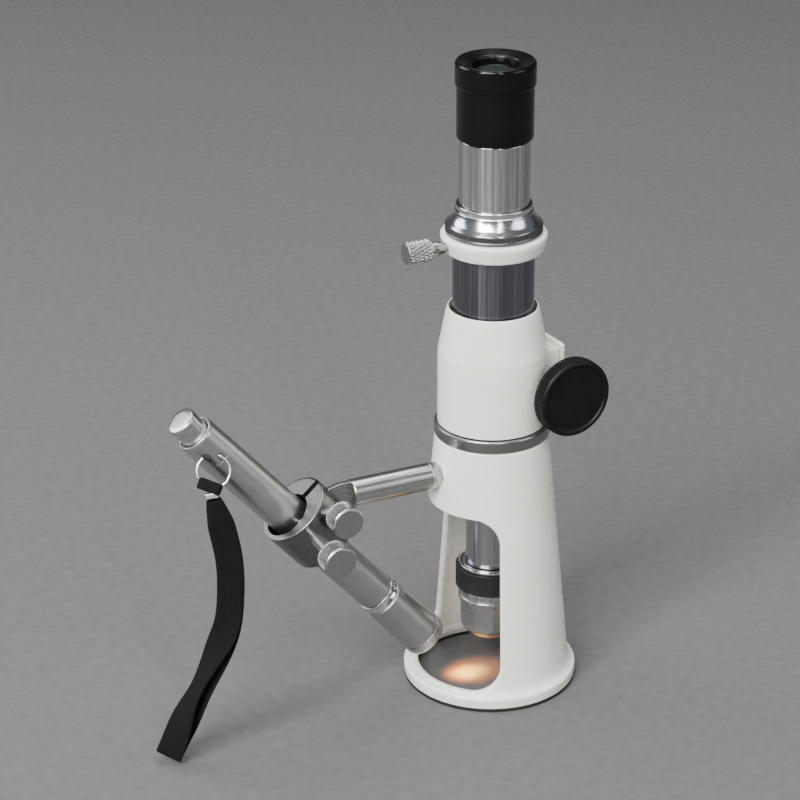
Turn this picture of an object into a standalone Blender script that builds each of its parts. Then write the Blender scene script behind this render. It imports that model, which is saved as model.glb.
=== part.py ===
"""A portable shop microscope that stands over its work: a cast stand with a window, a rack-focused tube,
a turning eyepiece holder and a pen light on a clamp arm.

Lengths are in millimetres here and become metres when a mesh is made. The column frame has its origin where
the optical axis meets the table, +Z up, with the arm pointing along -X. The column is set off the world's
origin so that the world's origin is the middle of the underside of the whole object's box.
"""

import math

import bmesh
import bpy
from mathutils import Matrix, Vector

MM = 0.001
GAP = 0.3  # left between pieces that touch

# Where the column stands in the world
COLUMN_X = 43.0
COLUMN_Y = 4.1

# Stand: lower casting, joint band, upper casting
BASE_R = 31.75
PAD_H = 0.9
FLANGE_TOP = 5.6
BASE_BORE_R = 27.2
CONE_TOP_Z = 97.4
CONE_TOP_R = 20.4
CONE_SLOPE = 0.095
WALL = 2.6
WEB_Z = 88.0
SPIGOT_R = 17.0
SPIGOT_Z = 90.6
BAND_H = 4.8
BAND_R = 20.55
BAND_TOP = CONE_TOP_Z + GAP + BAND_H
BODY_Z = BAND_TOP + GAP
BODY_R = 19.45
BODY_TOP = 146.0
WINDOW_HALF_DEG = 71.0
WINDOW_LOW = 6.2
WINDOW_HIGH = 72.3
WINDOW_CORNER = 10.0

# Focusing tube, with its rack towards the boss
TUBE_R = 14.35
TUBE_BORE = 13.0
TUBE_LOW = 92.0
TUBE_TOP = 173.0
BUSH_R = 15.15
TUBE_DOWN = 12.0
TUBE_UP = 6.0

# Rack and pinion
BOSS_TURN = 4.5
MODULE = 0.6
PINION_TEETH = 10
PRESSURE = math.radians(25.0)
ADDENDUM = 0.7 * MODULE
DEDENDUM = 0.95 * MODULE
BACKLASH = 0.14
PITCH_R = MODULE * PINION_TEETH / 2
RACK_PITCH_RHO = 16.1
PINION_RHO = RACK_PITCH_RHO + PITCH_R
PINION_Z = 115.0
RACK_HALF_W = 2.5
RACK_BACK_RHO = TUBE_R + GAP
BOSS_HALF_W = 8.5
BOSS_RHO = 22.9
BOSS_LOW = 103.6
BOSS_HIGH = 128.4
COVER_T = 1.6
SHAFT_R = 1.9
KNOB_R = 14.2
KNOB_T = 6.0
KNOB_BACK = 19.2

# Tube head: collar, turning eyepiece holder, eyepiece
COLLAR_LOW = 167.0
COLLAR_HIGH = 173.6
COLLAR_R = 18.6
FLANGE_R = 16.93
DRAW_R = 12.3
DRAW_BORE = 11.65
CAP_LOW = 207.5
CAP_TOP = 234.6
CAP_R = 13.25
CAP_RIM_R = 13.85
SCREW_Z = 170.6

# Objective
OBJECTIVE_LOW = 17.5
OBJECTIVE_R = 10.9
GRIP_R = 12.6
NOSE_R = 9.05

# Arm and clamp
ROD_Z = 84.8
ROD_R = 4.9
ROD_START = 24.6
ROD_END = 55.5
PIVOT_S = 66.1
TONGUE_T = 2.0
TONGUE_END_R = 3.2
NUT_FLATS = 8.0

# Pen light: its axis meets the table LIGHT_S from the column, leaning LIGHT_LEAN from the table
LIGHT_S = 8.4
LIGHT_LEAN = math.radians(48.86)
LIGHT_SIDE = 1.3
CLAMP_R = 13.2
CLAMP_BORE = 8.65
CLAMP_SHIFT = 2.9
CLAMP_LOW = 90.6
CLAMP_HIGH = 108.5
SLIT = 2.6
BARREL_R = 7.0
BARREL_BORE = 5.9
HEAD_R = 8.3
HEAD_BACK_R = 7.55
HEAD_LOW = 26.0
HEAD_HIGH = 53.0
BARREL_LOW = 57.0
BARREL_HIGH = 146.0
CELL_R = 5.25
CELL_L = 44.5
LIGHT_SCREW_T = 106.0
LIGHT_SCREW_ACROSS = 1.2
RING_R = 5.6
RING_WIRE = 0.45
RING_CENTRE = (-109.2, -6.9, 107.6)
FACING = (-0.324, -0.841, 0.434)  # the way the ring and the top of the strap face

# Wrist strap
STRAP_W = 9.4
STRAP_T = 1.1
STRAP_GAP = 3.8  # between the middles of its two legs
KEEPER = (-111.4, -9.1, 103.7)

FINISHES = {
    "white_paint": ((0.86, 0.86, 0.82), 0.35, 0.0),
    "black_gloss": ((0.012, 0.012, 0.013), 0.25, 0.0),
    "black_rubber": ((0.02, 0.02, 0.02), 0.8, 0.0),
    "chrome": ((0.78, 0.79, 0.8), 0.12, 1.0),
    "steel": ((0.55, 0.55, 0.54), 0.3, 1.0),
    "aluminium": ((0.66, 0.66, 0.65), 0.38, 1.0),
    "brass": ((0.75, 0.58, 0.27), 0.3, 1.0),
    "black_metal": ((0.03, 0.03, 0.03), 0.5, 0.6),
    "glass": ((0.85, 0.92, 0.95), 0.05, 0.0),
    "mirror": ((0.9, 0.9, 0.9), 0.05, 1.0),
    "webbing": ((0.015, 0.015, 0.018), 0.9, 0.0),
}


def cone_r(z):
    """Outer radius of the lower casting at height z."""
    return CONE_TOP_R + CONE_SLOPE * (CONE_TOP_Z - z)


def clear_scene():
    for obj in list(bpy.data.objects):
        bpy.data.objects.remove(obj, do_unlink=True)


def material(name, finish):
    colour, rough, metal = FINISHES[finish]
    made = bpy.data.materials.new(f"{name}_{finish}")
    made.use_nodes = True
    shader = made.node_tree.nodes["Principled BSDF"]
    shader.inputs["Base Color"].default_value = (*colour, 1.0)
    shader.inputs["Roughness"].default_value = rough
    shader.inputs["Metallic"].default_value = metal
    return made


def frame(name, parent, place, x_axis=(1, 0, 0), z_axis=(0, 0, 1)):
    """An empty at place, in its parent's millimetres, with its local X and Z along the given axes."""
    empty = bpy.data.objects.new(name, None)
    bpy.context.collection.objects.link(empty)
    empty.parent = parent
    z_axis = Vector(z_axis).normalized()
    x_axis = Vector(x_axis)
    x_axis = (x_axis - z_axis * x_axis.dot(z_axis)).normalized()
    turn = Matrix((x_axis, z_axis.cross(x_axis), z_axis)).transposed().to_4x4()
    empty.matrix_local = Matrix.Translation(Vector(place) * MM) @ turn
    return empty


def node(name, mesh, finish, parent):
    obj = bpy.data.objects.new(name, mesh)
    bpy.context.collection.objects.link(obj)
    if finish:
        mesh.materials.append(material(name, finish))
    obj.parent = parent
    return obj


def mesh_from(name, bm, smooth=True):
    """Takes a closed bmesh in millimetres and gives a mesh in metres, faces outwards."""
    bmesh.ops.remove_doubles(bm, verts=bm.verts, dist=0.001)
    bmesh.ops.recalc_face_normals(bm, faces=bm.faces)
    bmesh.ops.scale(bm, vec=(MM, MM, MM), verts=bm.verts)
    mesh = bpy.data.meshes.new(name)
    bm.to_mesh(mesh)
    bm.free()
    if smooth:
        mesh.shade_smooth()
        mesh.set_sharp_from_angle(angle=math.radians(35))
    return mesh


def turned(name, outline, steps=32, start=0.0):
    """A mesh turned about local Z from a closed outline of (radius, height) points."""
    bm = bmesh.new()
    rings = []
    for radius, height in outline:
        if radius < 1e-6:
            rings.append([bm.verts.new((0, 0, height))])
            continue
        angles = [start + 2 * math.pi * k / steps for k in range(steps)]
        rings.append([bm.verts.new((radius * math.cos(a), radius * math.sin(a), height)) for a in angles])
    for low, high in zip(rings, rings[1:] + rings[:1]):
        for k in range(steps):
            after = (k + 1) % steps
            corners = [low[k % len(low)], low[after % len(low)], high[after % len(high)], high[k % len(high)]]
            corners = list(dict.fromkeys(corners))
            if len(corners) > 2:
                bm.faces.new(corners)
    return mesh_from(name, bm)


def prism(name, outline, low, high, smooth=False):
    """A mesh extruded along local Z from a closed outline of (x, y) points."""
    bm = bmesh.new()
    bottom = [bm.verts.new((x, y, low)) for x, y in outline]
    top = [bm.verts.new((x, y, high)) for x, y in outline]
    bm.faces.new(bottom[::-1])
    bm.faces.new(top)
    for k in range(len(outline)):
        after = (k + 1) % len(outline)
        bm.faces.new((bottom[k], bottom[after], top[after], top[k]))
    return mesh_from(name, bm, smooth)


def swept(name, sections):
    """A closed mesh through a list of equal rings of points, each ring one section."""
    bm = bmesh.new()
    rings = [[bm.verts.new(p) for p in section] for section in sections]
    count = len(rings[0])
    bm.faces.new(rings[0][::-1])
    bm.faces.new(rings[-1])
    for low, high in zip(rings, rings[1:]):
        for k in range(count):
            after = (k + 1) % count
            bm.faces.new((low[k], low[after], high[after], high[k]))
    return mesh_from(name, bm)


def box_mesh(name, low, high):
    xs = ((low[0], low[1]), (high[0], low[1]), (high[0], high[1]), (low[0], high[1]))
    return prism(name, xs, low[2], high[2])


def cut(target, name, mesh, parent, operation="DIFFERENCE"):
    """Cuts a shape out of a node, or joins one to it, and keeps the cutter hidden."""
    cutter = node(name, mesh, None, parent)
    cutter.hide_render = True
    cutter.display_type = "WIRE"
    change = target.modifiers.new(name, "BOOLEAN")
    change.operation = operation
    change.solver = "EXACT"
    change.object = cutter
    return cutter


def arc(cx, cy, radius, start, end, count):
    """Points of an arc, angles in degrees."""
    angles = [math.radians(start + (end - start) * k / count) for k in range(count + 1)]
    return [(cx + radius * math.cos(a), cy + radius * math.sin(a)) for a in angles]


def rod_outline(radius, low, high, bevel=0.4):
    """Outline of a plain round piece with small bevels."""
    return [(0, low), (radius - bevel, low), (radius, low + bevel), (radius, high - bevel), (radius - bevel, high), (0, high)]


def tube_outline(inner, outer, low, high, bevel=0.2):
    """Outline of a plain tube with small bevels on its outer edges."""
    return [(inner, low), (outer - bevel, low), (outer, low + bevel), (outer, high - bevel), (outer - bevel, high), (inner, high)]


def window_mesh(name):
    """The window cutter: a wedge open towards -X, its upper corners rounded in the developed plane."""
    half = math.radians(WINDOW_HALF_DEG)
    corner = WINDOW_CORNER / 24.0
    levels = [(WINDOW_LOW, half - corner * 0.35), (WINDOW_LOW + WINDOW_CORNER * 0.4, half)]
    for x, y in arc(half - corner, WINDOW_HIGH - WINDOW_CORNER, 1.0, 0, 80, 6):
        share = (x - (half - corner), y - (WINDOW_HIGH - WINDOW_CORNER))
        levels.append((WINDOW_HIGH - WINDOW_CORNER + share[1] * WINDOW_CORNER, half - corner + share[0] * corner))
    sections = []
    for z, reach in levels:
        angles = [math.pi - reach + 2 * reach * k / 8 for k in range(9)]
        sections.append([(0.0, 0.0, z)] + [(48 * math.cos(a), 48 * math.sin(a), z) for a in angles])
    return swept(name, sections)


def make_stand(column, boss):
    outer = [(BASE_BORE_R, PAD_H + GAP), (BASE_R - 0.6, PAD_H + GAP), (BASE_R, PAD_H + GAP + 0.6)]
    outer += arc(BASE_R - 1.6, FLANGE_TOP - 1.6, 1.6, 0, 80, 4)
    outer += [(cone_r(8) + 0.7, FLANGE_TOP + 0.5), (cone_r(9), 9.0), (CONE_TOP_R, CONE_TOP_Z)]
    inner = [(SPIGOT_R + GAP, CONE_TOP_Z), (SPIGOT_R + GAP, WEB_Z + 2), (SPIGOT_R - 1.5, WEB_Z)]
    inner += [(cone_r(WEB_Z - 2) - WALL - 1.5, WEB_Z), (cone_r(WEB_Z - 6) - WALL, WEB_Z - 5)]
    inner += [(cone_r(12) - WALL, 12.0)]
    casting = node("base_casting", turned("base_casting", outer + inner, 72), "white_paint", column)
    cut(casting, "window_cutter", window_mesh("window_cutter"), column)
    outward = frame("arm_hole_frame", column, (0, 0, ROD_Z), (0, 0, 1), (-1, 0, 0))
    cut(casting, "arm_hole", turned("arm_hole", rod_outline(2.5, 12, 24, 0.05), 20, 0.05), outward)
    cut(casting, "arm_seat", turned("arm_seat", rod_outline(5.0, 20.8, 30, 0.05), 32, 0.05), outward)

    pad = [(BASE_BORE_R, 0), (BASE_R - 0.45, 0), (BASE_R - 0.15, 0.3), (BASE_R - 0.15, PAD_H), (BASE_BORE_R, PAD_H)]
    node("base_pad", turned("base_pad", pad, 48), "black_rubber", column)
    band = tube_outline(SPIGOT_R + GAP, BAND_R, CONE_TOP_Z + GAP, BAND_TOP, 0.3)
    node("joint_band", turned("joint_band", band, 48), "steel", column)

    shoulder = [(BODY_R, BODY_Z), (BODY_R, 127.0), (19.1, 131.0), (18.3, 136.5), (16.7, 143.4)]
    shoulder += [(16.3, 144.9), (15.9, BODY_TOP - 0.2), (BUSH_R + GAP, BODY_TOP)]
    bore = [(BUSH_R + GAP, 104.0), (TUBE_R + GAP, 103.7), (TUBE_R + GAP, SPIGOT_Z), (SPIGOT_R, SPIGOT_Z), (SPIGOT_R, BODY_Z)]
    body = node("focus_body", turned("focus_body", shoulder + bore, 72), "white_paint", column)
    block = box_mesh("boss_block", (16.2, -BOSS_HALF_W, BOSS_LOW), (BOSS_RHO, BOSS_HALF_W, BOSS_HIGH))
    cut(body, "boss_union", block, boss, "UNION")
    channel = box_mesh("rack_channel", (12.0, -RACK_HALF_W - 0.4, SPIGOT_Z - 2), (17.2, RACK_HALF_W + 0.4, 135.6))
    cut(body, "rack_channel_cut", channel, boss)
    pocket = box_mesh("pinion_pocket", (15.5, -RACK_HALF_W - 0.9, PINION_Z - 5), (30, RACK_HALF_W + 0.9, PINION_Z + 5))
    cut(body, "pinion_pocket_cut", pocket, boss)
    bearing = turned("bearing_hole", rod_outline(SHAFT_R + GAP, -BOSS_HALF_W + 1.5, 6, 0.05), 16)
    front = turned("bush_hole", rod_outline(3.1 + GAP, 3.8, 30, 0.05), 20)
    pinion_axis = frame("bearing_frame", boss, (PINION_RHO, 0, PINION_Z), (0, 0, 1), (0, -1, 0))
    cut(body, "bearing_hole_cut", bearing, pinion_axis)
    cut(body, "bush_hole_cut", front, pinion_axis)
    bearing_bush = tube_outline(SHAFT_R + GAP, 3.1, 4.2, 14.6)
    node("pinion_bush", turned("pinion_bush", bearing_bush, 20), "steel", pinion_axis)

    bush = tube_outline(TUBE_R + GAP, BUSH_R, 104.3, 144.4, 0.1)
    sleeve = node("guide_bush", turned("guide_bush", bush, 48), "steel", column)
    slot = box_mesh("bush_slot", (12.0, -RACK_HALF_W - 0.6, 100), (18, RACK_HALF_W + 0.6, 136.0))
    cut(sleeve, "bush_slot_cut", slot, boss)

    plate = [(-BOSS_HALF_W, BOSS_LOW), (BOSS_HALF_W, BOSS_LOW), (BOSS_HALF_W, BOSS_HIGH - 0.6)]
    plate += [(BOSS_HALF_W - 1.2, BOSS_HIGH + 0.6), (1.2 - BOSS_HALF_W, BOSS_HIGH + 0.6), (-BOSS_HALF_W, BOSS_HIGH - 0.6)]
    upright = frame("cover_frame", boss, (BOSS_RHO + GAP, 0, 0), (0, 1, 0), (1, 0, 0))
    cover = node("pinion_cover", prism("pinion_cover", plate, 0, COVER_T), "white_paint", upright)
    places = [(x, z) for x in (-5.8, 5.8) for z in (BOSS_LOW + 3.2, BOSS_HIGH - 3.2)]
    for number, (x, z) in enumerate(places, 1):
        hole = turned(f"cover_hole_{number}", rod_outline(1.3, -6.5, 5, 0.05), 14)
        spot = frame(f"cover_screw_frame_{number}", upright, (x, z, 0))
        cut(cover, f"cover_hole_cut_{number}", hole, spot)
        cut(body, f"cover_thread_cut_{number}", hole, spot)
        screw = [(0, -5.6), (1.0, -5.6), (1.0, COVER_T + GAP), (1.9, COVER_T + GAP), (1.9, 2.6), (1.5, 3.1), (0, 3.1)]
        node(f"cover_screw_{number}", turned(f"cover_screw_{number}", screw, 14), "steel", spot)


def make_tube(column, boss):
    tube = tube_outline(TUBE_BORE, TUBE_R, TUBE_LOW, TUBE_TOP, 0.3)
    node("main_tube", turned("main_tube", tube, 48), "steel", column)

    pitch = math.pi * MODULE
    root = RACK_PITCH_RHO - DEDENDUM
    tip = RACK_PITCH_RHO + ADDENDUM
    teeth_down, teeth_up = 4, 7
    half_space = (pitch / 2 + BACKLASH) / 2
    at_tip = half_space + ADDENDUM * math.tan(PRESSURE)
    at_root = half_space - DEDENDUM * math.tan(PRESSURE)
    outline = [(RACK_BACK_RHO, PINION_Z + (teeth_up + 0.5) * pitch), (RACK_BACK_RHO, PINION_Z - (teeth_down + 0.5) * pitch)]
    for tooth in range(-teeth_down, teeth_up + 1):
        z = PINION_Z + tooth * pitch
        outline += [(tip, z - at_tip), (root, z - at_root), (root, z + at_root), (tip, z + at_tip)]
    outline.insert(2, (tip, PINION_Z - (teeth_down + 0.5) * pitch))
    outline.append((tip, PINION_Z + (teeth_up + 0.5) * pitch))
    side = frame("rack_frame", boss, (0, 0, 0), (1, 0, 0), (0, -1, 0))
    node("rack_bar", prism("rack_bar", outline, -RACK_HALF_W, RACK_HALF_W), "brass", side)

    collar = [(TUBE_R + GAP, COLLAR_LOW), (COLLAR_R - 1.3, COLLAR_LOW), (COLLAR_R - 0.5, COLLAR_LOW + 0.9)]
    collar += [(COLLAR_R, COLLAR_HIGH - 2.2), (COLLAR_R - 0.2, COLLAR_HIGH - 0.7), (COLLAR_R - 0.9, COLLAR_HIGH)]
    collar += [(TUBE_R + GAP, COLLAR_HIGH)]
    ring = node("collar_ring", turned("collar_ring", collar, 48), "white_paint", column)
    hole = turned("collar_screw_hole", rod_outline(1.7, 12.0, 24, 0.05), 14)
    radial = frame("collar_screw_frame", column, (0, 0, SCREW_Z), (0, 0, 1), (-1, 0, 0))
    cut(ring, "collar_screw_cut", hole, radial)

    nose = [(7.9, 46.3), (NOSE_R, 46.3), (NOSE_R, 90.5), (12.7, 92.3), (12.7, 100.0), (7.9, 100.0)]
    node("nose_tube", turned("nose_tube", nose, 32), "chrome", column)
    stop = [(4.0, 150.0), (12.7, 150.0), (12.7, 152.0), (4.0, 151.2)]
    node("tube_stop", turned("tube_stop", stop, 24), "black_metal", column)

    shell = [(6.4, OBJECTIVE_LOW), (8.3, OBJECTIVE_LOW), (8.7, OBJECTIVE_LOW + 0.3), (OBJECTIVE_R, 20.6), (OBJECTIVE_R, 31.0)]
    shell += [(11.6, 31.3), (11.6, 33.0), (11.1, 33.3), (11.1, 33.8), (11.6, 34.1), (11.6, 36.1), (10.4, 36.3), (10.4, 46.0)]
    shell += [(7.6, 46.0), (7.6, 52.0), (6.4, 52.0)]
    node("objective_shell", turned("objective_shell", shell, 36), "aluminium", column)
    grip = tube_outline(10.4 + GAP, GRIP_R, 36.6, 44.8, 0.4)
    node("objective_grip", turned("objective_grip", grip, 36), "black_rubber", column)
    top_ring = tube_outline(10.4 + GAP, 11.6, 45.1, 46.0, 0.2)
    node("objective_ring", turned("objective_ring", top_ring, 36), "chrome", column)
    front_lens = [(0, 19.2), (4.0, 19.5), (6.1, 20.4), (6.1, 22.4), (0, 22.0)]
    node("objective_front_lens", turned("objective_front_lens", front_lens, 20), "glass", column)
    rear_lens = [(0, 38.2), (6.1, 39.0), (6.1, 41.0), (0, 42.2)]
    node("objective_rear_lens", turned("objective_rear_lens", rear_lens, 20), "glass", column)


def thumb_screw(name, parent, steps, spans):
    """A thumb screw along local Z: spans are (radius, start, end), the last span is the ribbed head."""
    outline = [(0, spans[0][1])]
    for radius, start, end in spans:
        outline += [(radius, start), (radius, end)]
    radius, start, end = spans[-1]
    outline[-1] = (radius, end - 0.7)
    outline += [(radius - 0.7, end), (0, end)]
    node(name, turned(name, outline, steps), "steel", parent)


def make_focus_drive(boss):
    """The pinion is cut on its own shaft. Its frame turns about the shaft, +Z towards the knob."""
    axis = frame("pinion_frame", boss, (PINION_RHO, 0, PINION_Z), (0, 0, 1), (0, -1, 0))
    base_r = PITCH_R * math.cos(PRESSURE)
    root_r = PITCH_R - DEDENDUM
    tip_r = PITCH_R + ADDENDUM

    def involute(radius):
        roll = math.sqrt(max((radius / base_r) ** 2 - 1, 0.0))
        return roll - math.atan(roll)

    half_tooth = (math.pi / 2 - BACKLASH / MODULE) / PINION_TEETH
    outline = []
    for tooth in range(PINION_TEETH):
        # a tooth of the pinion faces the rack, which is at local +Y
        centre = math.pi / 2 + 2 * math.pi * tooth / PINION_TEETH
        radii = [root_r, max(base_r, root_r), PITCH_R, tip_r]
        rise = [half_tooth + involute(PITCH_R) - involute(max(radius, base_r)) for radius in radii]
        outline += [(r * math.cos(centre - a), r * math.sin(centre - a)) for r, a in zip(radii, rise)]
        outline += [(r * math.cos(centre + a), r * math.sin(centre + a)) for r, a in list(zip(radii, rise))[::-1]]
    shaft = node("pinion_shaft", prism("pinion_shaft", outline, -RACK_HALF_W, RACK_HALF_W), "steel", axis)
    spindle = turned("pinion_spindle", rod_outline(SHAFT_R, -BOSS_HALF_W + 2, KNOB_BACK + 3.5, 0.3), 20)
    cut(shaft, "spindle_union", spindle, axis, "UNION")

    knob = [(SHAFT_R + GAP, 15.0), (5.6, 15.0), (6.4, KNOB_BACK - 0.4), (6.4, KNOB_BACK), (KNOB_R - 0.6, KNOB_BACK)]
    knob += [(KNOB_R, KNOB_BACK + 0.6), (KNOB_R, KNOB_BACK + KNOB_T - 0.9), (KNOB_R - 0.9, KNOB_BACK + KNOB_T)]
    knob += [(KNOB_R - 2.2, KNOB_BACK + KNOB_T), (KNOB_R - 2.8, KNOB_BACK + KNOB_T - 0.7), (0, KNOB_BACK + KNOB_T - 0.7)]
    knob += [(0, KNOB_BACK + 3.8), (SHAFT_R + GAP, KNOB_BACK + 3.8)]
    node("focus_knob", turned("focus_knob", knob, 40), "black_gloss", axis)


def make_eyepiece(column):
    flange = [(DRAW_R + GAP, 173.9), (16.8, 173.9), (17.0, 174.1), (17.0, 174.7), (FLANGE_R, 174.8)]
    flange += [(FLANGE_R, 176.7), (16.6, 177.2), (15.6, 178.2), (14.8, 179.3), (14.1, 180.6), (13.6, 182.0)]
    flange += [(13.3, 182.2), (13.3, 184.2), (DRAW_R + GAP, 184.2)]
    node("eyepiece_flange", turned("eyepiece_flange", flange, 48), "chrome", column)
    draw = tube_outline(DRAW_BORE, DRAW_R, 155.0, CAP_LOW - GAP, 0.15)
    node("draw_tube", turned("draw_tube", draw, 36), "steel", column)

    cap = [(10.9, CAP_LOW), (CAP_R - 0.3, CAP_LOW), (CAP_R, CAP_LOW + 0.5), (CAP_R, 225.9), (CAP_RIM_R, 226.5)]
    cap += [(CAP_RIM_R, CAP_TOP - 0.9), (CAP_RIM_R - 0.3, CAP_TOP - 0.3), (CAP_RIM_R - 0.9, CAP_TOP), (12.4, CAP_TOP - 0.1)]
    cap += [(8.8, CAP_TOP - 1.2), (8.0, CAP_TOP - 1.7), (8.0, CAP_TOP - 8.0), (10.9, CAP_TOP - 9.0)]
    node("eyepiece_cap", turned("eyepiece_cap", cap, 36), "black_gloss", column)
    barrel = [(9.8, 188.0), (11.2, 188.0), (11.2, 206.6), (10.5, 207.0), (10.5, 224.0), (9.8, 224.0)]
    node("eyepiece_barrel", turned("eyepiece_barrel", barrel, 32), "black_metal", column)
    lens = [(0, CAP_TOP - 7.0), (7.6, CAP_TOP - 6.0), (7.6, CAP_TOP - 3.8), (4.0, CAP_TOP - 2.6), (0, CAP_TOP - 2.2)]
    node("eye_lens", turned("eye_lens", lens, 24), "glass", column)
    field = [(0, 190.0), (9.4, 191.2), (9.4, 192.6), (0, 194.4)]
    node("field_lens", turned("field_lens", field, 24), "glass", column)
    node("reticle_glass", turned("reticle_glass", rod_outline(9.4, 205.0, 206.2, 0.1), 24), "glass", column)
    keeper = tube_outline(8.0, 9.5, 206.6, 208.4, 0.1)
    node("reticle_ring", turned("reticle_ring", keeper, 24), "brass", column)


def make_arm(column):
    """The arm's frame has +Z along the rod, away from the column."""
    arm = frame("arm_frame", column, (0, 0, ROD_Z), (0, 0, 1), (-1, 0, 0))
    hexagon = arc(0, 0, NUT_FLATS / math.sqrt(3), 0, 300, 5)
    nut = node("arm_nut", prism("arm_nut", hexagon, 21.1, 24.3), "steel", arm)
    cut(nut, "arm_nut_bore", turned("arm_nut_bore", rod_outline(2.5, 18, 27, 0.05), 16), arm)

    outline = [(0, 17.5), (2.2, 17.5), (2.2, ROD_START), (ROD_R - 0.4, ROD_START), (ROD_R, ROD_START + 0.4)]
    outline += [(ROD_R, ROD_END + 4.0), (0, ROD_END + 4.0)]
    rod = node("arm_rod", turned("arm_rod", outline, 24), "steel", arm)
    for side in (-1, 1):
        flat = sorted((side * TONGUE_T / 2, side * 9.0))
        cut(rod, f"tongue_flat_{side + 2}", box_mesh(f"tongue_flat_{side + 2}", (-9, flat[0], ROD_END), (9, flat[1], 80)), arm)
    reach = PIVOT_S - ROD_END
    blade = [(-ROD_R + 0.15, 0.0), (ROD_R - 0.15, 0.0), (ROD_R - 0.15, 4.5)]
    blade += arc(0, reach, TONGUE_END_R, 10, 170, 10) + [(0.15 - ROD_R, 4.5)]
    flat = frame("tongue_frame", arm, (0, 0, ROD_END), (1, 0, 0), (0, -1, 0))
    blade = [(x, y + 0.4) if y == 0 else (x, y) for x, y in blade]
    cut(rod, "tongue_union", prism("tongue_blade", blade, -TONGUE_T / 2 + 0.02, TONGUE_T / 2 - 0.02), flat, "UNION")
    hole = turned("tongue_hole", rod_outline(2.0, -5, 5, 0.05), 16)
    cut(rod, "tongue_hole_cut", hole, frame("tongue_hole_frame", flat, (0, reach, 0)))


def light_axes():
    """Local X across the light in the arm's plane and Z up along the light towards its tail."""
    c, s = math.cos(LIGHT_LEAN), math.sin(LIGHT_LEAN)
    return (s, 0, c), (-c, 0, s)


def pivot_in_light():
    """The pivot's place in the light's frame: (across, along)."""
    c, s = math.cos(LIGHT_LEAN), math.sin(LIGHT_LEAN)
    out = PIVOT_S - LIGHT_S
    return ROD_Z * c - out * s, out * c + ROD_Z * s


def make_clamp(column):
    across, along = pivot_in_light()
    pivot = frame("clamp_pivot", column, (-PIVOT_S, 0, ROD_Z), *light_axes())
    clamp = frame("clamp_frame", pivot, (-across, 0, -along))
    eccentric = frame("clamp_outer_frame", clamp, (CLAMP_SHIFT, 0, 0))
    body = turned("clamp_ring", rod_outline(CLAMP_R, CLAMP_LOW, CLAMP_HIGH, 0.5), 40)
    ring = node("clamp_ring", body, "chrome", eccentric)
    cut(ring, "clamp_bore", turned("clamp_bore", rod_outline(CLAMP_BORE, 80, 120, 0.05), 36), clamp)
    slit = box_mesh("clamp_slit", (CLAMP_BORE - 2, -SLIT / 2, 80), (20, SLIT / 2, 120))
    cut(ring, "clamp_slit_cut", slit, clamp)
    sideways = frame("swivel_frame", pivot, (0, 0, 0), (1, 0, 0), (0, -1, 0))
    cut(ring, "swivel_hole", turned("swivel_hole", rod_outline(2.0, -20, 20, 0.05), 16), sideways)
    light_screw = frame("light_screw_frame", clamp, (LIGHT_SCREW_ACROSS, 0, LIGHT_SCREW_T), (1, 0, 0), (0, -1, 0))
    cut(ring, "light_screw_hole", turned("light_screw_hole", rod_outline(1.7, 4, 24, 0.05), 14), light_screw)
    flat = turned("swivel_spot", rod_outline(3.2, 8.2, 30, 0.05), 20)
    cut(ring, "swivel_spot_cut", flat, sideways)

    spans = ((1.65, -8.0, 9.3), (2.6, 9.5, 14.3), (5.75, 14.5, 22.0))
    thumb_screw("swivel_screw", sideways, 28, spans)
    spans = ((1.4, BARREL_R - LIGHT_SIDE + GAP, 20.3), (2.3, 20.5, 32.3), (5.75, 32.5, 40.0))
    thumb_screw("light_screw", light_screw, 28, spans)


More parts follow.
